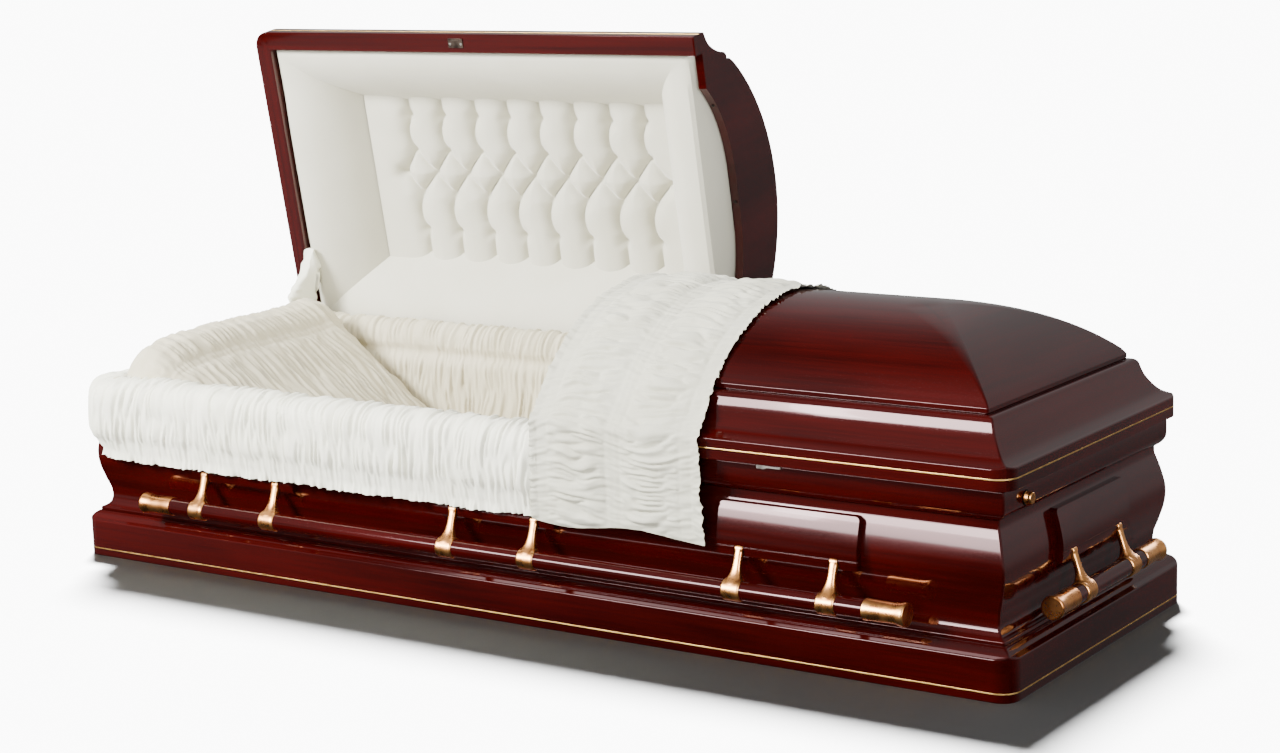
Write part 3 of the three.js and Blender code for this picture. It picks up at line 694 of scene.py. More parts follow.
# cap profile past the bar's end: distance along in metres, radius over the bar's in metres
capShape = [(0, -0.001), (0, 0.0010), (0.0006, 0.0017), (0.0020, 0.0019), (0.012, 0.0016), (0.030, 0.0011),
            (0.046, 0.0009), (0.056, 0.0012), (0.063, 0.0020), (0.069, 0.0031), (0.0735, 0.0040),
            (0.0762, 0.0043), (0.0785, 0.0039), (0.0797, 0.0028), (0.0800, 0.0012), (0.0797, -0.0004),
            (0.0799, -0.004), (0.0800, -0.011), (0.0800, -0.0165)]
longSide = {"half": halfWidth, "bar": 0.878, "lugs": (-0.632, 0, 0.632)}
shortSide = {"half": halfLength, "bar": 0.222, "lugs": (0,)}
sides = {
    "front": {**longSide, "along": (1, 0, 0), "out": (0, -1, 0), "barNodes": ["front_handle_bar"],
              "capNodes": ["front_handle_cap_head", "front_handle_cap_foot"],
              "armNodes": [f"front_handle_arm_{i}" for i in range(1, 7)],
              "lugNodes": [f"handle_lug_front_{where}" for where in ("head", "middle", "foot")]},
    "foot": {**shortSide, "along": (0, 1, 0), "out": (1, 0, 0), "barNodes": ["foot_handle_bar"],
             "capNodes": ["foot_handle_cap_front", "foot_handle_cap_back"],
             "armNodes": ["foot_handle_arm_2", "foot_handle_arm_1"], "lugNodes": ["handle_lug_foot"]},
    "back": {**longSide, "along": (-1, 0, 0), "out": (0, 1, 0), "barNodes": ["back_handle"],
             "capNodes": ["back_handle"] * 2, "armNodes": ["back_handle"] * 6,
             "lugNodes": [f"handle_lug_back_{where}" for where in ("foot", "middle", "head")]},
    "head": {**shortSide, "along": (0, -1, 0), "out": (-1, 0, 0), "barNodes": ["head_handle"],
             "capNodes": ["head_handle"] * 2, "armNodes": ["head_handle"] * 2,
             "lugNodes": ["handle_lug_head"]},
}


def sideMatrix(side):
    # local x runs along the side, local y outward from its base face, local z up
    matrix = Matrix.Identity(4)
    for i in range(3):
        matrix[i][0], matrix[i][1] = side["along"][i], side["out"][i]
        matrix[i][3] = side["out"][i] * side["half"]
    return matrix


def lathe(name, profile, segments=48):
    # turns (distance along, radius) round the x axis
    verts = []
    for along, radius in profile:
        for k in range(segments):
            a = 2 * math.pi * k / segments
            verts.append((along, radius * math.cos(a), radius * math.sin(a)))
    return newObject(name, verts, tubeFaces(len(profile), segments), sharp=40)


def wallAt(z):
    return float(np.interp(z, [p[1] * mm for p in wall], [p[0] * mm for p in wall]))


def armMesh():
    # one bail arm: a hooked eye at the pivot, a slim neck and a bell that closes on the bar's collar
    top, foot = Vector((0, *handle["pivot"])), Vector((0, *handle["bar"]))
    down = foot - top
    along = down.normalized()
    outward = Vector((0, along.z, -along.y)) * -1
    around = arm["around"]
    verts = []
    for share, half, deep in curve(arm["stations"], 3):
        centre = top + down * share + outward * arm["bow"] * math.sin(math.pi * min(max(share, 0), 1))
        for k in range(around):
            a = 2 * math.pi * k / around
            x = half * mm * math.copysign(abs(math.cos(a)) ** arm["blocky"], math.cos(a))
            y = deep * mm * math.copysign(abs(math.sin(a)) ** arm["blocky"], math.sin(a))
            verts.append(Vector((x, 0, 0)) + centre + outward * y)
    neck = newObject("arm", verts, tubeFaces(len(verts) // around, around), sharp=None)
    radius, half = arm["collarRadius"], arm["collarHalf"]
    slope = [(half - 0.0026, radius), (half - 0.0007, radius - 0.0011), (half, radius - 0.0028)]
    collar = lathe("collar", [(-x, r) for x, r in slope[::-1]] + slope)
    collar.data.transform(Matrix.Translation(foot))
    eye = lathe("eye", arm["eye"])
    eye.data.transform(Matrix.Translation(top))
    work = bmesh.new()
    for part in (neck, collar, eye):
        work.from_mesh(part.data)
        bpy.data.objects.remove(part)
    mesh = bpy.data.meshes.new("arm_mesh")
    work.to_mesh(mesh)
    work.free()
    body = linked("arm_body", mesh)
    remesh = body.modifiers.new("remesh", "REMESH")
    remesh.mode = "VOXEL"
    remesh.voxel_size = arm["voxel"]
    smooth = body.modifiers.new("smooth", "SMOOTH")
    smooth.factor = 0.5
    smooth.iterations = arm["smoothing"]
    bake(body)
    body.data.shade_smooth()
    mesh = body.data
    bpy.data.objects.remove(body)
    return mesh


def lugMesh():
    # a raised block that follows the wall's bulge, with two slots for the arms and a groove along its foot
    half, low, high = lug["half"], lug["low"], lug["high"]
    levels = [low - 0.01] + lug["levels"] + list(np.linspace(0.211, high + 0.01, 14))
    outer = [(-(wallAt(z) - lug["thick"] + (lug["groove"] if 0.203 < z < 0.2045 else 0)), z) for z in levels]
    inner = [(-(wallAt(z) + 0.003), z) for z in levels][::-1]
    ring = outer + inner
    verts = [(x, y, z) for x in (-half - 0.01, half + 0.01) for y, z in ring]
    block = newObject("lug_block", verts, tubeFaces(2, len(ring)), sharp=None)
    contour = [(-half, low, 3), (-half, high, 9.5), (half, high, 9.5), (half, low, 3)]
    notch, deep = lug["notch"], handle["pivot"][1] + 0.004
    for centre in (arm["reach"], -arm["reach"]):
        contour += [(centre + notch, low, 2), (centre + notch, deep, 9), (centre - notch, deep, 9),
                    (centre - notch, low, 2)]
    shape = rounded([(x / mm, z / mm, corner) for x, z, corner in contour], steps=5)
    cutter = plate("lug_cutter", shape, -0.08, 0.02, lambda a, b, y: (a, y, b), 0)
    cutting = block.modifiers.new("cut", "BOOLEAN")
    cutting.operation = "INTERSECT"
    cutting.solver = "EXACT"
    cutting.object = cutter
    bevelled(block, lug["bevel"], 3, 38)
    finishMesh(block, merge=2e-5)
    bpy.data.objects.remove(cutter)
    mesh = block.data
    bpy.data.objects.remove(block)
    return mesh


def fromMesh(name, mesh, matrix, weighted=False):
    obj = linked(name, mesh.copy())
    obj.data.transform(matrix)
    if weighted:
        obj.modifiers.new("normals", "WEIGHTED_NORMAL").keep_sharp = True
    return obj


def buildHandles():
    armShape, lugShape = armMesh(), lugMesh()
    reach = arm["reach"]
    for number, (name, side) in enumerate(sides.items()):
        matrix = sideMatrix(side)
        inward = np.array(matrix.inverted().to_3x3())[0]
        body = name + "_handle"
        seed = 90 + 7 * number
        made = []
        length = side["bar"] - handle["capLength"]
        atBar = matrix @ Matrix.Translation((0, *handle["bar"]))
        bar = lathe(name + "_bar", [(-length, handle["barRadius"]), (length, handle["barRadius"])], 64)
        setGrain(bar, lambda p: np.stack([p[:, 0], np.arctan2(p[:, 2], p[:, 1]) * handle["barTurn"],
                                          p[:, 0] * 0 + seed], 1))
        bar.data.transform(atBar)
        dress(bar, barMaterial, "mahogany", body, *side["barNodes"])
        made.append(bar)
        for i, way in enumerate((-1, 1)):
            profile = [(length + along, handle["barRadius"] + more) for along, more in capShape]
            cap = lathe(f"{name}_cap_{i + 1}", profile)
            cap.data.transform(atBar @ Matrix.Scale(way, 4, (1, 0, 0)))
            dress(cap, copperMaterial, "copper_hardware", body, side["capNodes"][i])
            made.append(cap)
        arms = [centre + way * reach for centre in side["lugs"] for way in (-1, 1)]
        for i, at in enumerate(arms):
            piece = fromMesh(f"{name}_arm_{i + 1}", armShape, matrix @ Matrix.Translation((at, 0, 0)))
            dress(piece, copperMaterial, "copper_hardware", body, side["armNodes"][i])
            made.append(piece)
        for i, at in enumerate(side["lugs"]):
            piece = fromMesh(f"{name}_lug_{i + 1}", lugShape, matrix @ Matrix.Translation((at, 0, 0)), True)
            setGrain(piece, lambda p: np.stack([p @ inward, p[:, 2], p[:, 2] * 0 + seed + i], 1))
            dress(piece, woodMaterial, "mahogany", "casket", side["lugNodes"][i])
            made.append(piece)
            for way, letter in ((-1, "a"), (1, "b")):
                ends = [(-handle["pinHalf"], handle["pinRadius"]), (handle["pinHalf"], handle["pinRadius"])]
                pin = lathe(f"{name}_pin_{i + 1}_{letter}", ends, 16)
                pin.data.transform(matrix @ Matrix.Translation((at + way * reach, *handle["pivot"])))
                dress(pin, darkMaterial, "copper_hardware", "casket")
        if matrix.to_3x3().determinant() < 0:
            for piece in made:
                piece.data.flip_normals()


buildHandles()


# memorial tube cap, catch, keeper and plugs

tubeCap = {"at": (1.0398, -0.258, 0.3262),
           "ring": [(0, 0.0135), (0.0012, 0.0135), (0.002, 0.0128), (0.002, 0.0112)],
           "knob": [(0.001, 0.0108), (0.0028, 0.0112), (0.0036, 0.0104), (0.0048, 0.0112), (0.0060, 0.0104),
                    (0.0072, 0.0112), (0.0084, 0.0104), (0.0098, 0.0110), (0.0120, 0.0108),
                    (0.0138, 0.0098), (0.0144, 0.0084), (0.0140, 0.0060), (0.0140, 0.0004)]}


def memorialTube():
    ring = lathe("tube_cap_ring", tubeCap["ring"])
    ring.data.transform(Matrix.Translation(tubeCap["at"]))
    dress(ring, darkMaterial, "copper_hardware", "casket")
    knob = lathe("tube_cap", tubeCap["knob"])
    knob.data.transform(Matrix.Translation(tubeCap["at"]))
    dress(knob, copperMaterial, "copper_hardware", "casket", "memorial_tube_cap")


# on the lid: mm along the casket and inward from the rim's edge; under the foot lid: mm along and up
catch = {"plate": [(-516, 9), (-516, 29), (-478, 29), (-478, 9)], "plateLevels": (-0.0018, 0.0006),
         "tongue": [(-508, 12.5), (-503, 17), (-490, 17), (-486, 12.5)], "tongueLevels": (-0.0027, 0.0),
         "screws": (-0.511, -0.483), "screwAt": (0.021, -0.0017),
         "screw": [(0, 0.0030), (0.0006, 0.0028), (0.0009, 0.0016), (0.0006, 0.0004)],
         "keeper": [(570, 344.5), (570, 352.4), (584, 352.4), (588, 350), (616, 350), (616, 352.4),
                    (618, 352.4), (618, 346.8), (590, 346.8), (586, 344.5)],
         "keeperInset": 0.0242, "keeperDepth": 0.0022, "bevel": 0.0004}
plugs = {"across": (-0.203, 0.0094), "behind": 0.009, "sunk": 0.0004,
         "profile": [(0, 0.0036), (0.0008, 0.0034), (0.0011, 0.0024), (0.0011, 0.0004)]}
upright = Matrix.Rotation(math.pi / 2, 4, "Y")


def onRim(a, b, z):
    return a, -halfLid + b, lidPlane + z


def onRail(a, b, y):
    return a, -halfWidth + catch["keeperInset"] + y, b


def catches():
    # a bronze plate with two screws and a tongue on the open lid, and a small keeper under the foot lid
    for part in ("plate", "tongue"):
        piece = plate("head_catch_" + part, rounded(catch[part], 1.5), *catch[part + "Levels"], onRim,
                      catch["bevel"])
        piece.data.transform(openLid)
        dress(piece, bronzeMaterial, "zinc_fitting", "head_lid", "head_lid_catch")
    for i, x in enumerate(catch["screws"]):
        screw = lathe(f"head_catch_screw_{i + 1}", catch["screw"], 20)
        screw.data.transform(openLid @ Matrix.Translation(onRim(x, *catch["screwAt"])) @ upright)
        dress(screw, zincMaterial, "zinc_fitting", "head_lid")
    keeper = plate("foot_catch", rounded(catch["keeper"], 0.8), -catch["keeperDepth"], 0.0, onRail,
                   catch["bevel"])
    dress(keeper, zincMaterial, "zinc_fitting", "casket")


def archPlugs():
    # two dark plugs in the edge of the arched opening, square to its curve
    for i, y in enumerate(plugs["across"]):
        plug = lathe(f"arch_plug_{i + 1}", plugs["profile"], 24)
        share = y / header["half"]
        slope = math.atan2(-header["rise"] * 3 * share ** 2 * math.copysign(1, y) / header["half"], 1)
        at = (lidCut - plugs["behind"], y, lidPlane + openingAt(share) - plugs["sunk"])
        plug.data.transform(openLid @ Matrix.Translation(at) @ Matrix.Rotation(slope, 4, "X") @ upright)
        dress(plug, darkMaterial, "mahogany", "head_lid")


memorialTube()
catches()
archPlugs()
print("handles and fittings made")


# cloth sheets

def clothGrid(name, centre, normal, height):
    # a sheet from a grid of points, pushed out along its normals by the height of its folds
    verts = (centre + normal * height[..., None]).reshape(-1, 3)
    mesh = bpy.data.meshes.new(name)
    mesh.from_pydata(verts.tolist(), [], gridFaces(*centre.shape[:2]))
    mesh.shade_smooth()
    return linked(name, mesh)


def gridNormals(grid):
    normal = np.cross(np.gradient(grid, axis=0), np.gradient(grid, axis=1))
    return normal / np.maximum(np.linalg.norm(normal, axis=2, keepdims=True), 1e-9)


def resample(path, step):
    # evenly spaced points of a path and their distances along it
    path = np.array(path, float)
    run = np.concatenate([[0], np.cumsum(np.linalg.norm(np.diff(path, axis=0), axis=1))])
    at = np.linspace(0, run[-1], max(int(run[-1] / step), 2))
    return np.stack([np.interp(at, run, path[:, k]) for k in range(path.shape[1])], 1), at


def roundPlan(plan, radius, steps=10):
    # a plan path with its inner corners rounded
    out = [plan[0]]
    for a, b, c in zip(plan[:-2], plan[1:-1], plan[2:]):
        a, b, c = (np.array(v, float) for v in (a, b, c))
        u, v = (a - b) / np.linalg.norm(a - b), (c - b) / np.linalg.norm(c - b)
        start, end = b + u * radius, b + v * radius
        for k in range(steps + 1):
            t = k / steps
            out.append(tuple((1 - t) ** 2 * start + 2 * t * (1 - t) * b + t * t * end))
    return out + [plan[-1]]


def hang(profile, plan, steps):
    # a sheet's middle surface: a profile of (inset, height) in mm that follows a plan path
    section, drop = resample(np.array(profile) * mm, steps[0])
    base, run = resample(plan, steps[1])
    tangent = np.gradient(base, axis=0)
    tangent /= np.linalg.norm(tangent, axis=1, keepdims=True)
    out = np.stack([-tangent[:, 1], tangent[:, 0]], 1)
    out *= np.sign(np.sum(out * base, axis=1).mean())
    across, down = np.meshgrid(run, drop, indexing="ij")
    inset = np.broadcast_to(section[:, 0], across.shape)
    centre = np.zeros((*across.shape, 3))
    centre[..., :2] = base[:, None] - out[:, None] * inset[..., None]
    centre[..., 2] = section[None, :, 1]
    return centre, out, inset, across, down


def facing(centre, out, column, way):
    # normals of a hung sheet, turned outward or inward as they stand in one column
    normal = gridNormals(centre)
    return normal * way * math.copysign(1, np.sum(normal[:, column, :2] * out, axis=1).mean())


# skirt outside the open half

skirt = {"profile": curve([(76, 150), (77, 190), (76.5, 240), (76, 290), (76, 330), (75, 346), (72.5, 357),
                           (65, 366.5), (54, 371.5), (38, 373), (22, 370.5), (8.5, 362.5), (0.5, 350),
                           (-3.2, 330), (-3.5, 305), (-1.4, 272), (2.2, 240), (5.4, 222), (7.4, 210.5)], 5),
         "start": 0.112, "short": 0.052, "corner": 0.125, "steps": (0.0075, 0.0021),
         "rowUp": 0.026, "rowHalf": 0.012, "folds": {"seed": 11, "pitch": 0.0082, "depth": 0.0095,
                                                     "length": 0.075, "reach": 0.020},
         "flute": 0.008, "flutePitch": 0.0075, "fluteUp": 0.012, "wave": 0.004, "wavePitch": 0.05,
         "waveUp": 0.10, "swellOut": 0.014, "swellDown": 0.007, "inside": 0.060, "insideFolds": 0.4,
         "tuck": 0.030, "tuckFlat": 0.75, "tuckIn": 0.005}


def bedSkirt():
    s = skirt
    plan = roundPlan([(s["start"], -halfWidth), (-halfLength, -halfWidth),
                      (-halfLength, halfWidth - s["short"])], s["corner"])
    centre, out, inset, across, down = hang(s["profile"], plan, s["steps"])
    total = down[0, -1]
    height = shirring(across, down, [(total - s["rowUp"], s["rowHalf"])], **s["folds"])
    flute = noise2(across / s["flutePitch"], down * 0 + 3, 15) - 0.5
    height += smoothstep(total - s["fluteUp"], total, down) * flute * s["flute"]
    wave = noise2(across / s["wavePitch"], across * 0, 19) - 0.5
    centre[..., 2] += wave * s["wave"] * smoothstep(total - s["waveUp"], total, down)
    # fuller over the rail at the head end, where the pillow pushes it out
    swell = smoothstep(0.88, 1.04, -centre[..., 0]) * smoothstep(0.215, 0.28, centre[..., 2])
    push = swell * smoothstep(0.045, 0.015, inset) * s["swellOut"]
    centre[..., :2] += out[:, None] * push[..., None]
    centre[..., 2] -= swell * s["swellDown"]
    normal = facing(centre, out, -12, 1)
    tuck = 1 - smoothstep(0.0, s["tuck"], across)
    lift = np.where(inset > s["inside"], s["insideFolds"], 1.0) * height
    lift = lift * (1 - s["tuckFlat"] * tuck) - s["tuckIn"] * tuck
    sheet = clothGrid("bed_skirt", centre, normal, lift)
    dress(sheet, whiteCloth, "lining_cloth", "casket", "bed_lining")
    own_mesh(sheet)


# lining up the back wall and over its rail

backLining = {"profile": curve([(30, 356), (28.2, 375), (28.8, 392), (33.5, 404), (42, 408), (54, 404),
                                (65.5, 392), (72.5, 373), (75, 352), (76, 326), (77, 290), (77, 255),
                                (76, 205), (75, 150)], 7),
              "start": 0.150, "short": 0.046, "steps": (0.0065, 0.0021), "row": 0.133, "rowHalf": 0.008,
              "footRow": 0.02, "waist": 0.004, "waistHalf": 0.010,
              "folds": {"seed": 23, "pitch": 0.0078, "depth": 0.0100, "length": 0.080, "reach": 0.022}}


def backWall():
    b = backLining
    plan = [(b["start"], halfWidth), (-halfLength + b["short"], halfWidth)]
    centre, out, inset, across, down = hang(b["profile"], plan, b["steps"])
    total = down[0, -1]
    rows = [(b["row"], b["rowHalf"]), (total - b["footRow"], 0.0)]
    height = shirring(across, down, rows, **b["folds"])
    centre[..., 1] += np.exp(-((down - b["row"]) / b["waistHalf"]) ** 2) * b["waist"]
    sheet = clothGrid("back_wall_lining", centre, facing(centre, out, -8, -1), height)
    dress(sheet, shadedCreamCloth, "lining_cloth", "casket")
    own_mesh(sheet)


# lining of the closed half

footLining = {"profile": curve([(76, 150), (76.5, 250), (76, 320), (74, 338), (68, 346.5), (58, 349.8),
                                (46, 351.9)], 5),
              "start": 0.150, "corner": 0.10, "steps": (0.006, 0.004), "row": 0.175,
              "calm": (0.18, 0.23, 0.9),
              "folds": {"seed": 31, "pitch": 0.009, "depth": 0.004, "length": 0.12}}


def footHalf():
    f = footLining
    plan = roundPlan([(f["start"], -halfWidth), (halfLength, -halfWidth), (halfLength, halfWidth),
                      (f["start"], halfWidth)], f["corner"])
    centre, out, inset, across, down = hang(f["profile"], plan, f["steps"])
    low, high, share = f["calm"]  # flatter over the rail, under the lid
    height = shirring(across, down, [(f["row"], 0.0)], **f["folds"])
    height *= 1 - smoothstep(low, high, down) * share
    sheet = clothGrid("foot_half_lining", centre, facing(centre, out, 4, -1), height)
    dress(sheet, shadedCreamCloth, "lining_cloth", "casket")


# cushions

seat = {"wall": -0.287, "ledge": 0.368, "round": 0.42, "rimFolds": 0.16, "merge": 1e-4}


def cushion(name, piece, topAt, foldsAt):
    # a stuffed cushion over a rectangle: a domed top, rounded sides and a flat underside
    (lowX, lowY), (highX, highY), bottom = piece["low"], piece["high"], piece["bottom"]
    nx, ny = int((highX - lowX) / piece["step"]), int((highY - lowY) / piece["step"])
    u, v = np.meshgrid(np.linspace(-1, 1, nx), np.linspace(-1, 1, ny), indexing="ij")
    x = (lowX + highX) / 2 + u * (highX - lowX) / 2
    y = (lowY + highY) / 2 + v * (highY - lowY) / 2
    sharpness = piece["edge"] * (highX - lowX) / (highY - lowY)
    rim = np.clip(1 - np.abs(u) ** sharpness, 0, 1) ** seat["round"]
    rim *= np.clip(1 - np.abs(v) ** piece["edge"], 0, 1) ** seat["round"]
    full = topAt(x, y)
    under = np.where(y < seat["wall"], np.minimum(seat["ledge"], full), bottom)  # rests on the front rail
    centre = np.stack([x, y, np.maximum(bottom + (full - bottom) * rim, under)], 2)
    normal = gridNormals(centre)
    normal *= math.copysign(1, normal[..., 2].mean())
    height = foldsAt(x, y) * smoothstep(0, seat["rimFolds"], rim)
    top = centre + normal * height[..., None]
    verts = np.concatenate([top.reshape(-1, 3), np.stack([x, y, under], 2).reshape(-1, 3)])
    topFaces = gridFaces(nx, ny)
    underFaces = [tuple(i + nx * ny for i in face[::-1]) for face in topFaces]
    mesh = bpy.data.meshes.new(name)
    mesh.from_pydata(verts.tolist(), [], topFaces + underFaces)
    work = bmesh.new()
    work.from_mesh(mesh)
    bmesh.ops.remove_doubles(work, verts=work.verts, dist=seat["merge"])
    bmesh.ops.recalc_face_normals(work, faces=work.faces)
    work.to_mesh(mesh)
    work.free()
    mesh.shade_smooth()
    return linked(name, mesh)


pillow = {"low": (-0.999, -0.331), "high": (-0.452, 0.285), "bottom": 0.152, "edge": 13, "step": 0.0032,
          "slope": ([-0.999, -0.972, -0.93, -0.90, -0.86, -0.82, -0.78, -0.75, -0.72, -0.695, -0.66, -0.63,
                     -0.60, -0.56, -0.50, -0.45],
                    [0.434, 0.452, 0.457, 0.445, 0.412, 0.375, 0.342, 0.321, 0.300, 0.281, 0.252, 0.224,
                     0.202, 0.186, 0.176, 0.170]),
          "frontDip": 0.014, "backRise": 0.010, "rows": [(-0.855, 0.006), (-0.60, 0.006)], "sway": 0.02,
          "folds": {"seed": 41, "pitch": 0.0080, "depth": 0.0085, "length": 0.080, "reach": 0.018}}
mattress = {"low": (-0.985, -0.284), "high": (0.985, 0.284), "bottom": 0.146, "edge": 14, "step": 0.0062,
            "top": 0.192, "rows": [(-0.2, 0.004), (0.0, 0.004), (0.2, 0.004)],
            "folds": {"seed": 53, "pitch": 0.011, "depth": 0.007, "length": 0.10}}


def pillowTop(x, y):
    dip = (1 - smoothstep(-0.30, -0.10, y)) * pillow["frontDip"] * (1 - smoothstep(-0.9, -0.7, x))
    rise = pillow["backRise"] * np.exp(-((y - 0.21) / 0.05) ** 2) * (1 - smoothstep(-0.95, -0.7, x))
    return np.interp(x, *pillow["slope"]) - dip + rise


def pillowFolds(x, y):
    return shirring(y + pillow["sway"] * np.sin(x * 11), x, pillow["rows"], **pillow["folds"])


def mattressTop(x, y):
    return mattress["top"] + 0 * x


def mattressFolds(x, y):
    return shirring(x, y, mattress["rows"], **mattress["folds"])


def pillowAndBed():
    head = cushion("pillow_cover", pillow, pillowTop, pillowFolds)
    dress(head, shadedCreamCloth, "lining_cloth", "casket", "pillow")
    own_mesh(head)
    bed = cushion("bed_mattress_cover", mattress, mattressTop, mattressFolds)
    dress(bed, shadedCreamCloth, "lining_cloth", "casket", "bed_mattress")


# cloth sleeve over the lid stay: its outline across and up in metres

sleeve = {"shape": [(0.317, 0.558), (0.331, 0.541), (0.342, 0.523), (0.339, 0.512), (0.333, 0.501),
                    (0.328, 0.480), (0.322, 0.458), (0.318, 0.420), (0.314, 0.384), (0.262, 0.384),
                    (0.250, 0.410), (0.236, 0.440), (0.232, 0.457), (0.246, 0.473), (0.264, 0.490),
                    (0.286, 0.510), (0.298, 0.531)],
          "at": -1.004, "half": 0.012, "layers": 13, "step": 0.004, "flat": 0.62, "fold": 0.013}


def staySleeve():
    s = sleeve
    ring = resample(s["shape"] + s["shape"][:1], s["step"])[0][:-1]
    middle = ring.mean(axis=0)
    verts = []
    for i in range(s["layers"]):
        a = -1 + 2 * i / (s["layers"] - 1)
        scale = s["flat"] + (1 - s["flat"]) * math.sqrt(max(1 - a * a, 0))
        for y, z in ring:
            spot = (np.array(z / 0.011 + a * 0.9 + y / 0.03), np.array(y / 0.03))
            fold = float((noise2(*spot, 61) - 0.5) * s["fold"])
            verts.append((s["at"] + a * s["half"] + fold * 0.6,
                          middle[0] + (y - middle[0]) * (scale + fold * 4),
                          middle[1] + (z - middle[1]) * (0.88 + 0.12 * scale)))
    cover = newObject("stay_sleeve", verts, tubeFaces(s["layers"], len(ring)), sharp=None)
    dress(cover, whiteCloth, "lining_cloth", "casket", "lid_stay_sleeve")
    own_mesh(cover)


bedSkirt()
backWall()
footHalf()
pillowAndBed()
staySleeve()
print("bed linings made")


# padded roll round the head lid's opening: inset and height in mm, then the same at the cut

roll = {"profile": [(42, 26, 20, 95), (41.5, 22, 21, 60), (42, 18.5, 23.5, 31), (45, 14.5, 29, 17.5),
                    (50, 12.4, 37, 12.4), (58, 12, 50, 11.6), (70, 14, 70, 14), (80, 17.6, 80, 17.6),
                    (90, 22, 90, 22), (100, 28.8, 100, 28.8), (110, 37, 110, 37), (120, 47, 120, 47),
                    (130, 58, 130, 58), (140, 70.6, 140, 70.6), (148, 82, 148, 82),
                    (156, 94.5, 156, 94.5), (163, 106, 163, 106), (174, 124, 174, 124),
                    (184, 141, 184, 141), (184, 150, 184, 150), (160, 122, 160, 124), (100, 60, 90, 104),
                    (52, 34, 44, 106), (46, 30, 30, 104)],
        "headSlope": 0.015, "blend": 0.09, "shortSteps": 60, "longSteps": 90, "soft": 0.0032,
        "softPitch": 0.11}


def lidRoll():
    left, right, half = -lidSize[0] / 2, lidCut, halfLid
    points = []
    for entry in roll["profile"]:
        inset, height, insetCut, heightCut = (value * mm for value in entry)
        insetHead = inset + roll["headSlope"] * float(smoothstep(0.06, 0.16, inset))
        corners = [(right - insetCut, -half + inset), (right - insetCut, half - inset),
                   (left + insetHead, half - inset), (left + insetHead, -half + inset)]
        for i in range(4):
            a, b = np.array(corners[i]), np.array(corners[(i + 1) % 4])
            steps = roll["shortSteps"] if i % 2 == 0 else roll["longSteps"]
            for k in range(steps):
                p = a + (b - a) * k / steps
                z = height
                if i == 0:
                    reach = min(k, steps - k) / steps * np.linalg.norm(b - a)
                    z = height + (heightCut - height) * float(smoothstep(0.0, roll["blend"], reach))
                points.append((p[0], p[1], z))
    verts = np.array(points)
    x, y = verts[:, 0] / roll["softPitch"] + 5, verts[:, 1] / roll["softPitch"] + 5
    verts[:, 2] += (noise2(x, y, 71) - 0.5) * roll["soft"]
    verts[:, 2] += lidPlane
    rings = len(roll["profile"])
    obj = newObject("lid_lining_roll", verts, gridFaces(rings, len(verts) // rings, True, True), sharp=24)
    obj.data.transform(openLid)
    dress(obj, shadedSatinCloth, "lining_cloth", "head_lid", "head_lid_lining")


# tufted panel inside the head lid: knots along the casket, rows by their distance from the hinge

tufts = {"even": [-0.763, -0.672, -0.581, -0.494, -0.407, -0.318, -0.227, -0.138],
         "odd": [-0.800, -0.715, -0.628, -0.537, -0.449, -0.361, -0.272, -0.182, -0.092],
         "rows": [0.487, 0.407, 0.356, 0.308, 0.223], "top": 0.525, "bottom": 0.171, "over": 0.02,
         "from": (-0.872, 0.158), "to": (-0.072, 0.539), "bow": 0.011, "bowSteps": 6, "near": 0.06,
         "level": 0.1400, "puff": 0.025, "pleat": 0.0125, "step": 0.0024, "dimple": 0.006,
         "dimpleHalf": 0.0065, "pinch": 0.75, "pinchHalf": 0.015, "crease": 0.0018, "creaseHalf": 0.0022,
         "swirl": 0.0022, "swirlHalf": 0.028, "swirlPitch": 0.012}


def segmentDistance(px, py, a, b):
    dx, dy = b[0] - a[0], b[1] - a[1]
    t = np.clip(((px - a[0]) * dx + (py - a[1]) * dy) / (dx * dx + dy * dy), 0, 1)
    return np.hypot(px - a[0] - t * dx, py - a[1] - t * dy)


def panelSeams():
    # pleats from edge to knot and from knot to knot, the outer ones bowed
    t, rows = tufts, tufts["rows"]
    seams = []
    for a in t["even"]:
        seams += [((a, t["top"] + t["over"]), (a, rows[0])), ((a, rows[4]), (a, t["bottom"] - t["over"]))]
        for high, low in ((rows[0], rows[1]), (rows[3], rows[4])):
            bow = []
            for k in range(t["bowSteps"] + 1):
                share = math.pi * k / t["bowSteps"]
                bow.append((a - t["bow"] * math.sin(share), high + (low - high) * k / t["bowSteps"]))
            seams += list(zip(bow[:-1], bow[1:]))
        for b in t["odd"]:
            if abs(a - b) < t["near"]:
                seams += [((a, rows[1]), (b, rows[2])), ((b, rows[2]), (a, rows[3]))]
    return seams


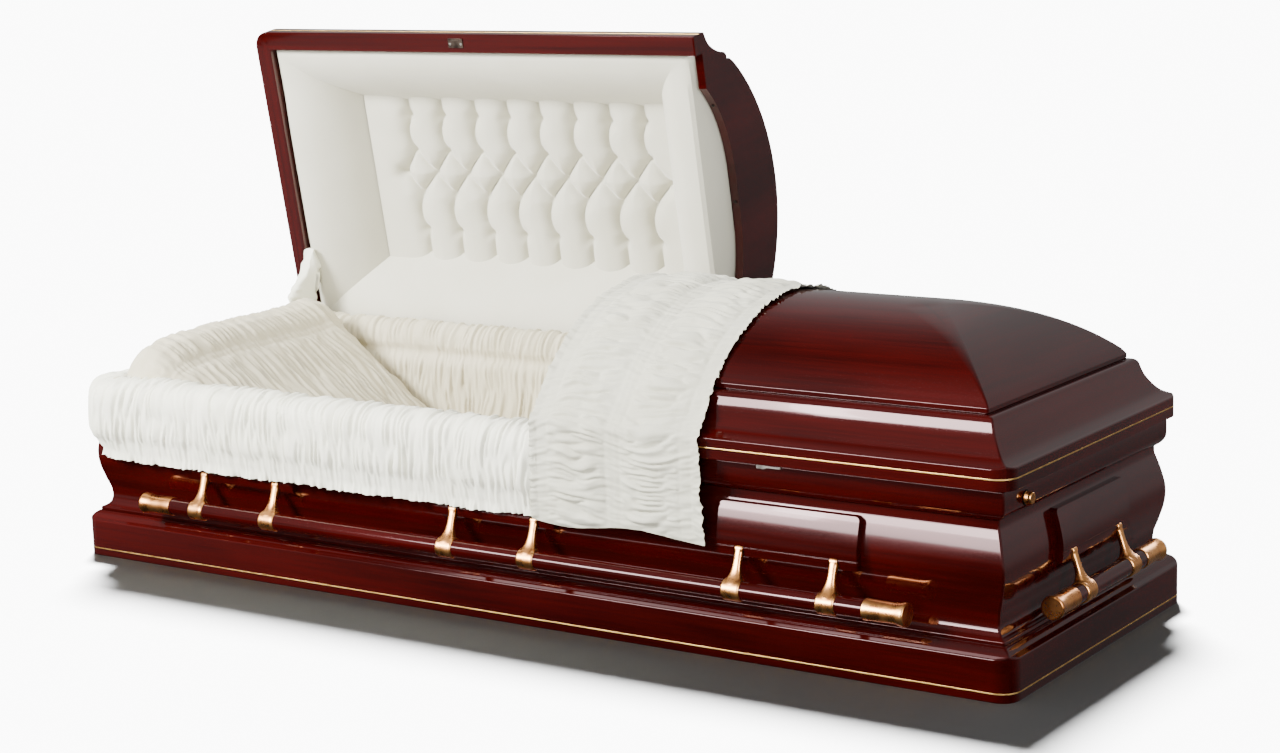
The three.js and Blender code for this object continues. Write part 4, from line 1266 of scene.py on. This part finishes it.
def tuftedPanel():
    t = tufts
    nx, ny = (int((t["to"][k] - t["from"][k]) / t["step"]) for k in (0, 1))
    x, d = np.meshgrid(np.linspace(t["from"][0], t["to"][0], nx), np.linspace(t["from"][1], t["to"][1], ny),
                       indexing="ij")
    seam = np.full(x.shape, 1.0)
    for a, b in panelSeams():
        seam = np.minimum(seam, segmentDistance(x, d, a, b))
    knots = [(a, t["rows"][i]) for i in (0, 1, 3, 4) for a in t["even"]]
    knots += [(a, t["rows"][2]) for a in t["odd"]]
    knot = np.full(x.shape, 1.0)
    for a, b in knots:
        knot = np.minimum(knot, np.hypot(x - a, d - b))
    rise = 1 - np.exp(-(seam / t["pleat"]) ** 0.9)
    rise *= 1 - t["pinch"] * np.exp(-(knot / t["pinchHalf"]) ** 2)
    sunk = np.exp(-(knot / t["dimpleHalf"]) ** 2) * t["dimple"]
    crease = np.exp(-(seam / t["creaseHalf"]) ** 2) * t["crease"]
    swirl = (noise2(x / t["swirlPitch"], d / t["swirlPitch"], 83) - 0.5) * t["swirl"]
    swirl *= np.exp(-(knot / t["swirlHalf"]) ** 2)
    level = t["level"] - t["puff"] * rise + sunk + crease + swirl
    verts = np.stack([x, hingeY - d, level + lidPlane], 2).reshape(-1, 3)
    obj = newObject("tufted_panel", verts, gridFaces(nx, ny), sharp=None)
    obj.data.transform(openLid)
    dress(obj, shadedSatinCloth, "lining_cloth", "head_lid", "head_lid_tufted_panel")


lidRoll()
tuftedPanel()
print("lid lining made")


# throw over the foot lid: its front path as (in from the rim's edge, up from the mating plane)

throw = {"front": [(-0.0056, 0.0053), (-0.0050, 0.0345), (-0.0015, 0.0415), (0.005, 0.0452),
                   (0.032, 0.0780), (0.058, 0.1120)],
         "left": 0.1005, "right": ([0, 0.16, 0.30], [0.476, 0.468, 0.458]), "rightEnd": 0.455,
         "hem": 0.2065, "backEnd": 0.232, "gap": 0.0030, "step": 0.0023, "columns": 92,
         "bands": [(0.126, 0.011), (0.282, 0.017), (0.436, 0.012)], "sway": 0.010, "sag": 0.006,
         "folds": {"seed": 97, "pitch": 0.0090, "depth": 0.0125, "length": 0.060, "reach": 0.034},
         "ruffle": 0.004, "off": 0.0008, "piping": 0.0019}


def throwPath():
    edge, shoulder = -halfLid, -halfChord
    path = [(edge - 0.0058, throw["hem"]), (edge - 0.0060, 0.30)]
    path += [(edge + across, lidPlane + up) for across, up in throw["front"]]
    path.append((shoulder - 0.003, lidPlane + 0.1235))
    start = shoulder + 0.006
    for k in range(40):
        y = start + (throw["backEnd"] - start) * k / 39
        path.append((y, lidPlane + archAt(abs(y)) + throw["gap"]))
    return path


def curveTube(name, path, radius, around=10):
    # a thin round tube along a path that runs across the casket
    p = np.array(path)
    tangent = np.gradient(p, axis=0)
    tangent /= np.linalg.norm(tangent, axis=1, keepdims=True)
    side = np.cross(tangent, [1, 0, 0])
    side /= np.linalg.norm(side, axis=1, keepdims=True)
    other = np.cross(tangent, side)
    verts = []
    for i in range(len(p)):
        for k in range(around):
            a = 2 * math.pi * k / around
            verts.append(p[i] + radius * (math.cos(a) * side[i] + math.sin(a) * other[i]))
    return newObject(name, verts, tubeFaces(len(p), around), sharp=None)


def overlay():
    t = throw
    path, run = resample(throwPath(), t["step"])
    left = t["left"] + 0.002 * (noise2(run / 0.05, run * 0, 5) - 0.5)
    at, edge = t["right"]
    right = np.interp(run, at + [run[-1]], edge + [t["rightEnd"]])
    right += 0.004 * (noise2(run / 0.018, run * 0, 6) - 0.5)
    x = left[:, None] + (right - left)[:, None] * np.linspace(0, 1, t["columns"])[None]
    down, y, z = (np.repeat(line[:, None], t["columns"], 1) for line in (run, path[:, 0], path[:, 1]))
    sag = t["sag"] * np.sin(x * 21 + 1.0) * (1 - smoothstep(0, 0.12, down))
    centre = np.stack([x, y, z + sag], 2)
    height = shirring(down + t["sway"] * np.sin(x * 23), x, t["bands"], **t["folds"])
    ruffle = t["ruffle"] * (noise2(down / 0.007, x * 0, 98) - 0.3)
    height += np.exp(-((right[:, None] - x) / 0.008) ** 2) * ruffle
    height *= 0.35 + 0.65 * smoothstep(0, 0.012, down)
    normal = gridNormals(centre)
    normal *= math.copysign(1, -normal[5, :, 1].mean())
    sheet = clothGrid("throw_overlay", centre, normal, height + t["off"])
    dress(sheet, throwCloth, "throw_cloth", "foot_lid", "overlay_throw")
    piping = curveTube("throw_piping", [(t["left"] + 0.0002, y, z) for y, z in path[::3]], t["piping"])
    dress(piping, whiteCloth, "throw_cloth", "foot_lid")


overlay()
print("throw made")


# floor and light

light = {"floor": 15.0, "shadow": 0.28, "shadowFrom": (-0.235, 0.312, 0.40), "shadowSoft": 16,
         "casters": ("base_moulding", "body_panels", "top_rail"), "backdrop": 16.0, "dimmest": 0.015}
paper = {"half": 40, "low": (0.295, 0.295, 0.295, 1), "high": (0.305, 0.305, 0.305, 1), "middle": 0.30,
         "bounce": (0.05, 0.05, 0.05, 1)}

# a soft lamp gives no reflection, a shine lamp gives nothing else, and "on" keeps a lamp to some pieces
softboxes = {
    "key": {"at": (-2.6, -2.9, 2.6), "toward": (-0.2, 0.0, 0.42), "size": (1.2, 1.2), "power": 690,
            "kind": "soft"},
    "front": {"at": (1.0, -3.8, 1.2), "toward": (0, 0, 0.42), "size": (2.2, 1.4), "power": 75,
              "kind": "soft"},
    "side": {"at": (4.6, -1.6, 1.8), "toward": (0.6, 0, 0.4), "size": (1.8, 1.4), "power": 105,
             "kind": "soft"},
    "over": {"at": (-0.4, -1.0, 3.4), "toward": (-0.5, 0.0, 0.42), "size": (1.4, 1.4), "power": 105,
             "kind": "soft"},
    "strip": {"at": (-0.75, -3.9, 1.80), "toward": (0.75, -0.25, 0.42), "size": (1.5, 0.9), "power": 145,
              "kind": "shine"},
    "stripLeft": {"at": (-2.25, -3.9, 1.80), "toward": (0.30, -0.25, 0.42), "size": (1.5, 0.9),
                  "power": 110, "kind": "shine"},
    "stripLow": {"at": (-1.1, -4.0, 1.15), "toward": (0.60, -0.25, 0.42), "size": (2.2, 0.5), "power": 60,
                 "kind": "shine"},
    "rimSheen": {"at": (-1.5, -0.85, 0.2), "toward": (-0.4, 0.4, 1.0), "size": (1.7, 0.9), "power": 2.4,
                 "kind": "shine", "on": "rim"},
    "metalLeft": {"at": (-1.6, -3.0, 1.6), "toward": (0, -0.3, 0.2), "size": (2.4, 2.0), "power": 280,
                  "kind": "both", "on": "metal"},
    "metalRight": {"at": (3.6, -2.4, 1.4), "toward": (0.8, 0, 0.2), "size": (2.0, 2.0), "power": 190,
                   "kind": "both", "on": "metal"},
    "metalBack": {"at": (0, 4.0, 1.6), "toward": (0, 0, 0.2), "size": (3.0, 2.0), "power": 160,
                  "kind": "both", "on": "metal"},
}


def collected(name, objects):
    group = bpy.data.collections.new(name)
    for obj in objects:
        group.objects.link(obj)
    return group


def addFloor():
    half = paper["half"]
    mesh = bpy.data.meshes.new("floor")
    mesh.from_pydata([(-half, -half, 0), (half, -half, 0), (half, half, 0), (-half, half, 0)], [],
                     [(0, 1, 2, 3)])
    floor = linked("floor", mesh)
    s = newMaterial("floor_paper")
    tone = s.mix(s.noise(s.place(), (2, 2, 2), 2) * 0.2, paper["low"], paper["high"])
    seen = s.node("BsdfDiffuse", {}, {"Color": tone})
    bounce = s.node("BsdfDiffuse", {}, {"Color": paper["bounce"]})
    toCamera = s.node("LightPath", output="Is Camera Ray")
    s.finish(s.node("MixShader", {}, {0: toCamera, 1: bounce, 2: seen}), "Material Output")
    mesh.materials.append(s.owner)
    floor.visible_glossy = False
    return floor


def addSun(floor):
    # lights the floor alone, and only the body casts its shadow there
    sun = bpy.data.lights.new("floor_light", "SUN")
    sun.energy = light["floor"] * math.pi / paper["middle"]
    sun.angle = math.radians(light["shadowSoft"])
    lamp = linked("floor_light", sun)
    lamp.rotation_euler = Vector(light["shadowFrom"]).to_track_quat("Z", "Y").to_euler()
    lamp.light_linking.receiver_collection = collected("floor_light_reach", [floor])
    casters = [bpy.data.objects[name] for name in light["casters"]]
    lamp.light_linking.blocker_collection = collected("shadow_casters", casters)


def addSoftbox(name, box, floor, targets):
    data = bpy.data.lights.new(name, "AREA")
    data.shape = "RECTANGLE"
    data.size, data.size_y = box["size"]
    data.energy = box["power"]
    lamp = linked(name, data)
    lamp.location = box["at"]
    lamp.rotation_euler = (Vector(box["toward"]) - Vector(box["at"])).to_track_quat("-Z", "Y").to_euler()
    lamp.visible_glossy = box["kind"] != "soft"
    lamp.visible_diffuse = box["kind"] != "shine"
    lamp.visible_camera = False
    group = collected(name + "_reach", targets or [floor])
    lamp.light_linking.receiver_collection = group
    if not targets:
        group.collection_objects[0].light_linking.link_state = "EXCLUDE"


def addWorld():
    # a white backdrop for the camera, bands of light for reflections and a low light for the rest
    world = bpy.data.worlds.new("studio")
    scene.world = world
    s = Graph(world)
    way = s.node("TexCoord", output="Generated")
    x, y, z = (s.node("SeparateXYZ", {}, {0: way}, k) for k in range(3))
    back = y.band(-0.15, 0.75) * z.band(-0.30, 0.10, 0.10, 0.36) * z.band(0.55, 0.85, 1.0, 0.5)
    right = x.band(0.35, 0.9) * z.band(-0.30, 0.20, 0.0, 0.24)
    front = 1 - y.band(-0.3, 0.2)
    low = z.band(-0.30, -0.18) * (1 - z.band(-0.06, 0.04)) * front * x.band(-0.60, -0.42, 0.30, 0.04)
    high = z.band(-0.04, 0.16, 0.0, 0.36) * front
    white = (1, 1, 1, 1)
    mirrored = s.node("Background", {}, {0: white, 1: back + right + low + high + light["dimmest"]})
    soft = s.node("Background", {}, {0: white, 1: light["shadow"]})
    bright = s.node("Background", {}, {0: white, 1: light["backdrop"]})
    lit = s.node("MixShader", {}, {0: s.node("LightPath", output="Is Glossy Ray"), 1: soft, 2: mirrored})
    toCamera = s.node("LightPath", output="Is Camera Ray")
    s.finish(s.node("MixShader", {}, {0: toCamera, 1: lit, 2: bright}), "World Output")


def studio():
    floor = addFloor()
    addSun(floor)
    addWorld()
    metal = [obj for obj in scene.objects if obj.type == "MESH" and obj.data.materials
             and obj.data.materials[0] in (copperMaterial, goldMaterial)]
    targets = {"metal": metal, "rim": [bpy.data.objects["head_lid_rim"]]}
    for name, box in softboxes.items():
        addSoftbox(name, box, floor, targets.get(box.get("on"), []))


studio()
print("studio made")
